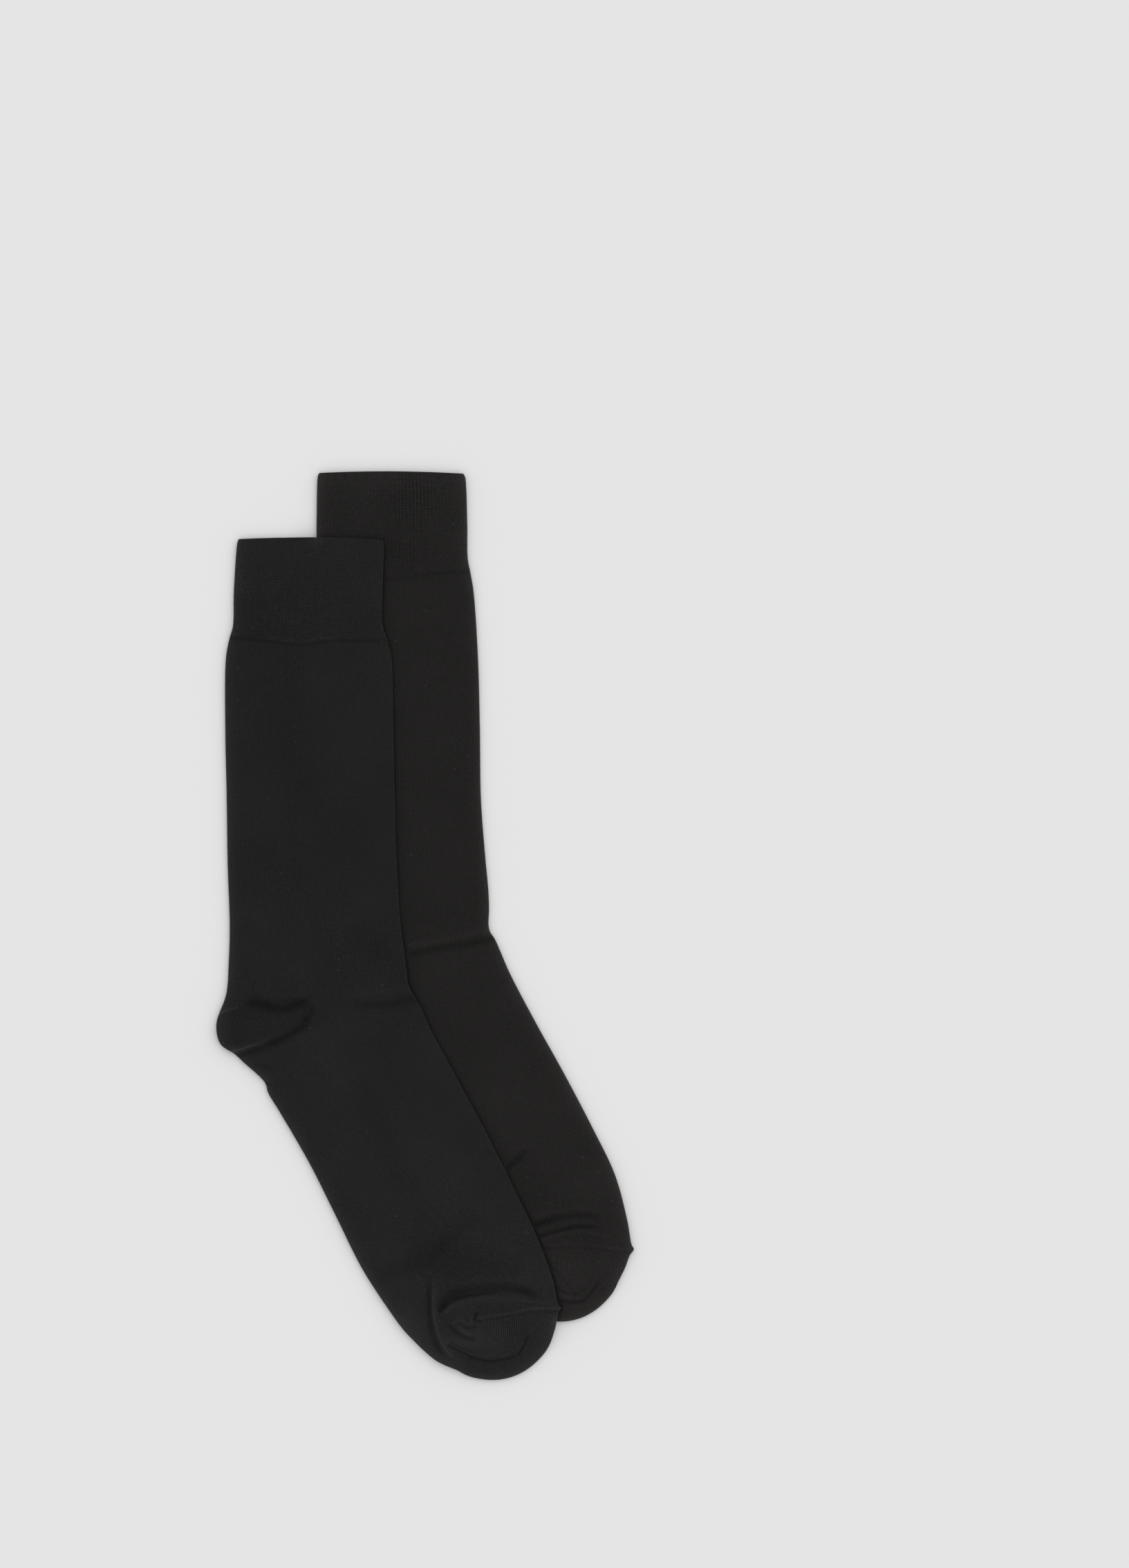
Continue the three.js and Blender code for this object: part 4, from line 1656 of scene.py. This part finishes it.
def stitch_group() -> bpy.types.NodeTree:
    """The knit's relief from stitch coordinates.

    Across a wale the height is 1 less a power of the distance from its middle. Along it the two
    legs of each stitch slant up from the middle, as a cosine of the course plus half that distance.
    Single stitches stand a little higher or lower, the wales wander a little, and in a rib every
    second wale is lower.

    Returns:
        The node group.
    """
    board, given, out = new_group(
        "sock stitches",
        {
            "Stitch": VECTOR, "Fullness": VALUE, "Stitch share": VALUE, "Wander": VALUE, "Uneven": VALUE,
            "Rib": VALUE,
        },
        {"Height": VALUE, "Groove": VALUE},
    )
    split = board.node("ShaderNodeSeparateXYZ")
    board.feed(given["Stitch"], split.inputs[0])
    drift = board.maths("SUBTRACT", board.noise(given["Stitch"], WANDER_SCALE, 2.0), 0.5)
    u = board.maths("ADD", split.outputs[0], board.maths("MULTIPLY", drift, given["Wander"]))
    from_middle = board.maths("ABSOLUTE", board.maths("MULTIPLY_ADD", board.maths("FRACT", u), 2.0, -1.0))
    wale = board.maths("SUBTRACT", 1.0, board.maths("POWER", from_middle, given["Fullness"]))
    slant = board.maths("MULTIPLY_ADD", from_middle, 0.5, split.outputs[1])
    wave = board.maths("COSINE", board.maths("MULTIPLY", slant, 2 * math.pi))
    leg = board.maths("MULTIPLY_ADD", wave, 0.5, 0.5)
    dip = board.maths("MULTIPLY", board.maths("SUBTRACT", 1.0, leg), given["Stitch share"])
    single = board.node("ShaderNodeTexWhiteNoise", noise_dimensions="2D")
    whole = board.node("ShaderNodeVectorMath", operation="FLOOR")
    board.feed(given["Stitch"], whole.inputs[0])
    board.feed(whole.outputs[0], single.inputs["Vector"])
    ragged = board.maths("MULTIPLY", single.outputs["Value"], given["Uneven"])
    pair = board.maths("GREATER_THAN", board.maths("FRACT", board.maths("MULTIPLY", u, 0.5)), 0.5)
    low_rib = board.maths("MULTIPLY", pair, given["Rib"])
    dipped = board.maths("SUBTRACT", 1.0, dip)
    full = board.maths("SUBTRACT", board.maths("SUBTRACT", dipped, ragged), low_rib)
    height = board.maths("MULTIPLY", wale, full)
    board.feed(height, out["Height"])
    board.feed(board.maths("SUBTRACT", 1.0, height), out["Groove"])
    return board.tree


def lint_group() -> bpy.types.NodeTree:
    """Pale specks of lint: the middles of a few cells, chosen by each cell's own random colour.

    Returns:
        The node group.
    """
    board, given, out = new_group(
        "lint specks", {"Place": VECTOR, "Cells": VALUE, "Size": VALUE, "Share": VALUE}, {"Mask": VALUE}
    )
    cells = board.node("ShaderNodeTexVoronoi", voronoi_dimensions="2D")
    board.feed(given["Place"], cells.inputs["Vector"])
    board.feed(given["Cells"], cells.inputs["Scale"])
    pick = board.node("ShaderNodeSeparateColor")
    board.feed(cells.outputs["Color"], pick.inputs[0])
    chosen = board.maths("LESS_THAN", pick.outputs[0], given["Share"])
    reach = board.maths("MULTIPLY", given["Size"], pick.outputs[1])
    near = board.maths("LESS_THAN", cells.outputs["Distance"], reach)
    board.feed(board.maths("MULTIPLY", near, chosen), out["Mask"])
    return board.tree


def yarn_group() -> bpy.types.NodeTree:
    """The dyed yarn's colour in the knit, with painted shade and highlight.

    It is the yarn's colour, drifting a little between two tints, times broad and fine mottling, a
    slow rise towards the toe, the painted shade and highlight of the folds and the edges, and 1 plus
    the painted groove shade times how far the groove is short of its mean depth, so that the mean
    stays. The painted groove shade grows where the wales stand open.

    Returns:
        The node group.
    """
    board, given, out = new_group(
        "yarn colour with painted shading",
        {
            "Place": VECTOR, "Colour": COLOUR, "Mottle": VALUE, "Toe lightening": VALUE, "Painted light": VALUE,
            "Groove": VALUE, "Mean groove": VALUE, "Open": VALUE, "Darkening": VALUE, "Opening": VALUE,
        },
        {"Colour": COLOUR},
    )
    split = board.node("ShaderNodeSeparateXYZ")
    board.feed(given["Place"], split.inputs[0])
    broad = board.maths("SUBTRACT", board.noise(given["Place"], BROAD_SCALE, 3.0), 0.5)
    fine = board.maths("SUBTRACT", board.noise(given["Place"], FINE_SCALE, 2.0), 0.5)
    both = board.maths("MULTIPLY_ADD", fine, FINE_SHARE, board.maths("MULTIPLY", broad, BROAD_SHARE))
    mottled = board.maths("MULTIPLY_ADD", both, given["Mottle"], 1.0)
    toeward = board.spread(split.outputs[1], 0.0, TOE_LIGHTENING_RUN, 0.0, 1.0)
    toe_lightened = board.maths("MULTIPLY_ADD", toeward, given["Toe lightening"], 1.0)
    # Painted shade in the grooves between the wales, deeper where they stand open
    wider = board.maths("MULTIPLY_ADD", given["Open"], given["Opening"], 1.0)
    opened = board.maths("MAXIMUM", wider, LEAST_OPENING)
    darkening = board.maths("MULTIPLY", opened, given["Darkening"])
    crest = board.maths("SUBTRACT", given["Mean groove"], given["Groove"])
    grooved = board.maths("MAXIMUM", board.maths("MULTIPLY_ADD", crest, darkening, 1.0), LEAST_LIGHT)
    tone = board.maths("MULTIPLY", board.maths("MULTIPLY", mottled, toe_lightened), given["Painted light"])
    scaled = board.node("ShaderNodeVectorMath", operation="SCALE")
    board.feed(given["Colour"], scaled.inputs[0])
    board.feed(board.maths("MULTIPLY", tone, grooved), scaled.inputs["Scale"])
    hue = board.spread(board.noise(given["Place"], TINT_SCALE, 2.0), TINT_FROM, TINT_TO, 0.0, 1.0)
    heather = board.node("ShaderNodeVectorMath", operation="MULTIPLY")
    board.feed(scaled.outputs[0], heather.inputs[0])
    board.feed(board.mix(hue, HEATHER[0], HEATHER[1]), heather.inputs[1])
    board.feed(heather.outputs[0], out["Colour"])
    return board.tree


@dataclass(frozen=True)
class KnitFinish:
    """One stretch of knitting: how deep its wales and stitches are and how much shade is painted in its
    grooves.
    """

    patch: Patch
    depth: float
    fullness: float
    stitch_share: float
    wander: float
    uneven: float
    darkening: float
    opening: float
    level: float = 1.0
    rib: float = 0.0

    def mean_groove(self) -> float:
        """Mean depth of the grooves: 1 less the mean height of a wale times that of a stitch.

        The mean height of a wale is 1 less 1 over (fullness + 1).
        """
        wale = 1.0 - 1.0 / (self.fullness + 1.0)
        return 1.0 - wale * (1.0 - 0.5 * (self.stitch_share + self.uneven))


FINISHES = (
    KnitFinish(Patch.CUFF, 0.00024, 2.0, 0.75, 0.4, 0.3, 0.85, 1.2, 1.1, 0.4),
    KnitFinish(Patch.PLAIN, 0.00018, 2.0, 0.3, 0.6, 0.35, 0.5, 1.3, 1.03),
    KnitFinish(Patch.HEEL, 0.0003, 1.8, 0.2, 0.3, 0.25, 1.0, 1.0, 0.92),
    KnitFinish(Patch.TOE_CAP, 0.0003, 1.8, 0.2, 0.25, 0.25, 0.75, 0.8, 1.14),
    KnitFinish(Patch.TOE_SIDE, 0.00014, 2.0, 0.45, 0.8, 0.5, 0.5, 0.2, 1.08),
    KnitFinish(Patch.TOE_BAND, 0.0002, 2.0, 0.45, 0.4, 0.3, 0.65, 0.3, 1.04),
)


@dataclass(frozen=True)
class Yarn:
    """The yarn of one sock: its colour, the lint on it, and how it shines and varies."""

    name: str
    colour: tuple[float, float, float]
    lint: tuple[float, float, float, float] = (0.11, 0.106, 0.1, 1.0)
    roughness: float = 0.88
    specular: float = 0.12
    sheen: float = 0.05
    sheen_roughness: float = 0.45
    mottle: float = 0.6
    toe_lightening: float = 0.17
    lint_cells: float = 120.0
    lint_size: float = 0.027
    lint_share: float = 0.12
    rib: float = 1.0

    def dress(self, finish: KnitFinish, groups: dict[str, bpy.types.NodeTree]) -> bpy.types.Material:
        """Makes the material of this yarn in one stretch of knitting.

        Args:
            finish: The stretch of knitting.
            groups: The shared node groups, by name.

        Returns:
            The material.
        """
        material = bpy.data.materials.new(f"{self.name}_{finish.patch.name.lower()}")
        material.use_nodes = True
        board = Board(material.node_tree)
        shader = material.node_tree.nodes["Principled BSDF"]
        place = board.node("ShaderNodeTexCoord").outputs["Object"]
        stitch = board.node("ShaderNodeUVMap", uv_map="stitches").outputs[0]
        # Painted shade and highlight of the folds and edges, kept on the mesh
        light = board.node("ShaderNodeAttribute", attribute_name="painted_light").outputs["Fac"]
        opened = board.node("ShaderNodeAttribute", attribute_name="open_wales").outputs["Fac"]

        knit = board.place(
            groups["stitches"],
            {
                "Stitch": stitch, "Fullness": finish.fullness, "Stitch share": finish.stitch_share,
                "Wander": finish.wander, "Uneven": finish.uneven,
                "Rib": board.maths("MULTIPLY", opened, finish.rib * self.rib),
            },
        )
        colour = (*(c * finish.level for c in self.colour), 1.0)
        yarn = board.place(
            groups["yarn"],
            {
                "Place": place, "Colour": colour, "Mottle": self.mottle, "Toe lightening": self.toe_lightening,
                "Painted light": light, "Groove": knit["Groove"], "Mean groove": finish.mean_groove(),
                "Open": opened, "Darkening": finish.darkening, "Opening": finish.opening,
            },
        )
        lint = board.place(
            groups["lint"],
            {"Place": place, "Cells": self.lint_cells, "Size": self.lint_size, "Share": self.lint_share},
        )
        board.feed(board.mix(lint["Mask"], yarn["Colour"], self.lint), shader.inputs["Base Color"])

        bump = board.node("ShaderNodeBump")
        bump.inputs["Distance"].default_value = finish.depth
        board.feed(knit["Height"], bump.inputs["Height"])
        board.feed(bump.outputs[0], shader.inputs["Normal"])
        shader.inputs["Roughness"].default_value = self.roughness
        shader.inputs["Specular IOR Level"].default_value = self.specular
        shader.inputs["Sheen Weight"].default_value = self.sheen
        shader.inputs["Sheen Roughness"].default_value = self.sheen_roughness
        return material


@dataclass
class Studio:
    """A plain pale floor under an even dome of light, with a weak soft light from the upper right."""

    floor_size: float = 6.0
    floor_level: float = -0.0002
    floor_colour: tuple[float, float, float, float] = (0.80, 0.80, 0.80, 1.0)
    floor_roughness: float = 0.95
    dome: float = 0.82
    key_strength: float = 0.75
    key_softness: float = 70.0
    key_tilt: float = 48.0
    key_heading: float = -38.0

    def build(self) -> None:
        """Makes the floor, the dome and the soft light."""
        half, z = self.floor_size / 2, self.floor_level
        mesh = bpy.data.meshes.new("floor")
        corners = [(-half, -half, z), (half, -half, z), (half, half, z), (-half, half, z)]
        mesh.from_pydata(corners, [], [(0, 1, 2, 3)])
        floor = bpy.data.objects.new("floor", mesh)
        bpy.context.scene.collection.objects.link(floor)
        material = bpy.data.materials.new("pale_floor")
        material.use_nodes = True
        shader = material.node_tree.nodes["Principled BSDF"]
        shader.inputs["Base Color"].default_value = self.floor_colour
        shader.inputs["Roughness"].default_value = self.floor_roughness
        shader.inputs["Specular IOR Level"].default_value = 0.0
        mesh.materials.append(material)

        world = bpy.data.worlds.new("dome")
        world.use_nodes = True
        ground = world.node_tree.nodes["Background"]
        ground.inputs["Color"].default_value = (1.0, 1.0, 1.0, 1.0)
        ground.inputs["Strength"].default_value = self.dome
        bpy.context.scene.world = world

        lamp = bpy.data.lights.new("soft_light", "SUN")
        lamp.energy = self.key_strength
        lamp.angle = math.radians(self.key_softness)
        light = bpy.data.objects.new("soft_light", lamp)
        light.rotation_euler = (math.radians(self.key_tilt), 0.0, math.radians(180.0 + self.key_heading))
        bpy.context.scene.collection.objects.link(light)
        log.info("studio: floor, dome and soft light")


@dataclass
class PhotoCamera:
    """The camera straight above the socks, with the photograph's frame."""

    place: tuple[float, float, float] = (0.0811, 0.08236, 3.0)
    frame_height: float = 0.9072
    sensor: float = 36.0
    far_end: float = 50.0

    def build(self) -> None:
        """Makes the camera and sets it as the scene's."""
        lens = bpy.data.cameras.new("camera")
        lens.sensor_width = self.sensor
        lens.lens = self.sensor * self.place[2] / self.frame_height
        lens.clip_end = self.far_end
        camera = bpy.data.objects.new("camera", lens)
        camera.location = self.place
        bpy.context.scene.collection.objects.link(camera)
        bpy.context.scene.camera = camera
        log.info("camera: %.1f mm lens", lens.lens)


@dataclass
class SockPair:
    """The pair: the lower sock on the floor, the upper one half over it."""

    under_yarn: Yarn = Yarn("under_knit", (0.0120, 0.01107, 0.01066))
    over_yarn: Yarn = Yarn("over_knit", (0.01155, 0.01112, 0.01120), rib=0.25)
    flat: tuple[float, float] = (0.199, 0.53)
    area: float = 0.095

    def layout_shift(self) -> np.ndarray:
        """From the layout frame to the part's own, in millimetres, by the CAD nodes' heels and cuffs.

        Returns:
            The shift along X and Y.
        """
        shifts = []
        for node, sections in (("sock_under", UNDER_SECTIONS), ("sock_over", OVER_SECTIONS)):
            low, high = np.array(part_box(node)) / MM
            shifts.append((low[0] - plan_outline(sections)[:, 0].min(), high[1] - cuff_top(sections)))
        log.info("layout shifts in mm: %s", np.round(shifts, 3).tolist())
        return np.round(np.mean(shifts, axis=0), 3)

    def build(self) -> None:
        """Builds and dresses both socks, attaches them to the body and hides their CAD parts."""
        groups = {"stitches": stitch_group(), "lint": lint_group(), "yarn": yarn_group()}
        under_outline, over_outline = plan_outline(UNDER_SECTIONS), plan_outline(OVER_SECTIONS)
        shift = self.layout_shift()
        under = Sock(
            "sock_under_cloth", "sock_under", UNDER_SECTIONS, UNDER_CREASES, UNDER_HIDDEN, UNDER_AREAS,
            UNDER_CUFF_LINE, FloorLevel(None), shift, UNDER_PHASE, UNDER_OPENINGS,
            (under_outline, over_outline), over_outline,
        )
        over = Sock(
            "sock_over_cloth", "sock_over", OVER_SECTIONS, OVER_CREASES, OVER_HIDDEN, OVER_AREAS,
            OVER_CUFF_LINE, FloorLevel(under_outline), shift, OVER_PHASE, OVER_OPENINGS,
            (over_outline, under_outline),
        )
        for sock, yarn in ((under, self.under_yarn), (over, self.over_yarn)):
            piece = sock.build()
            for finish in FINISHES:
                piece.data.materials.append(yarn.dress(finish, groups))
            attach(piece, BODY)
            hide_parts(sock.node)


def main() -> None:
    """Loads the frame, builds the camera, the pair and its studio, and sets the view transform."""
    logging.basicConfig(level=logging.INFO, format="%(message)s")
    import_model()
    PhotoCamera().build()
    Studio().build()
    SockPair().build()
    bpy.context.scene.view_settings.view_transform = "Standard"


if __name__ == "__main__":
    main()
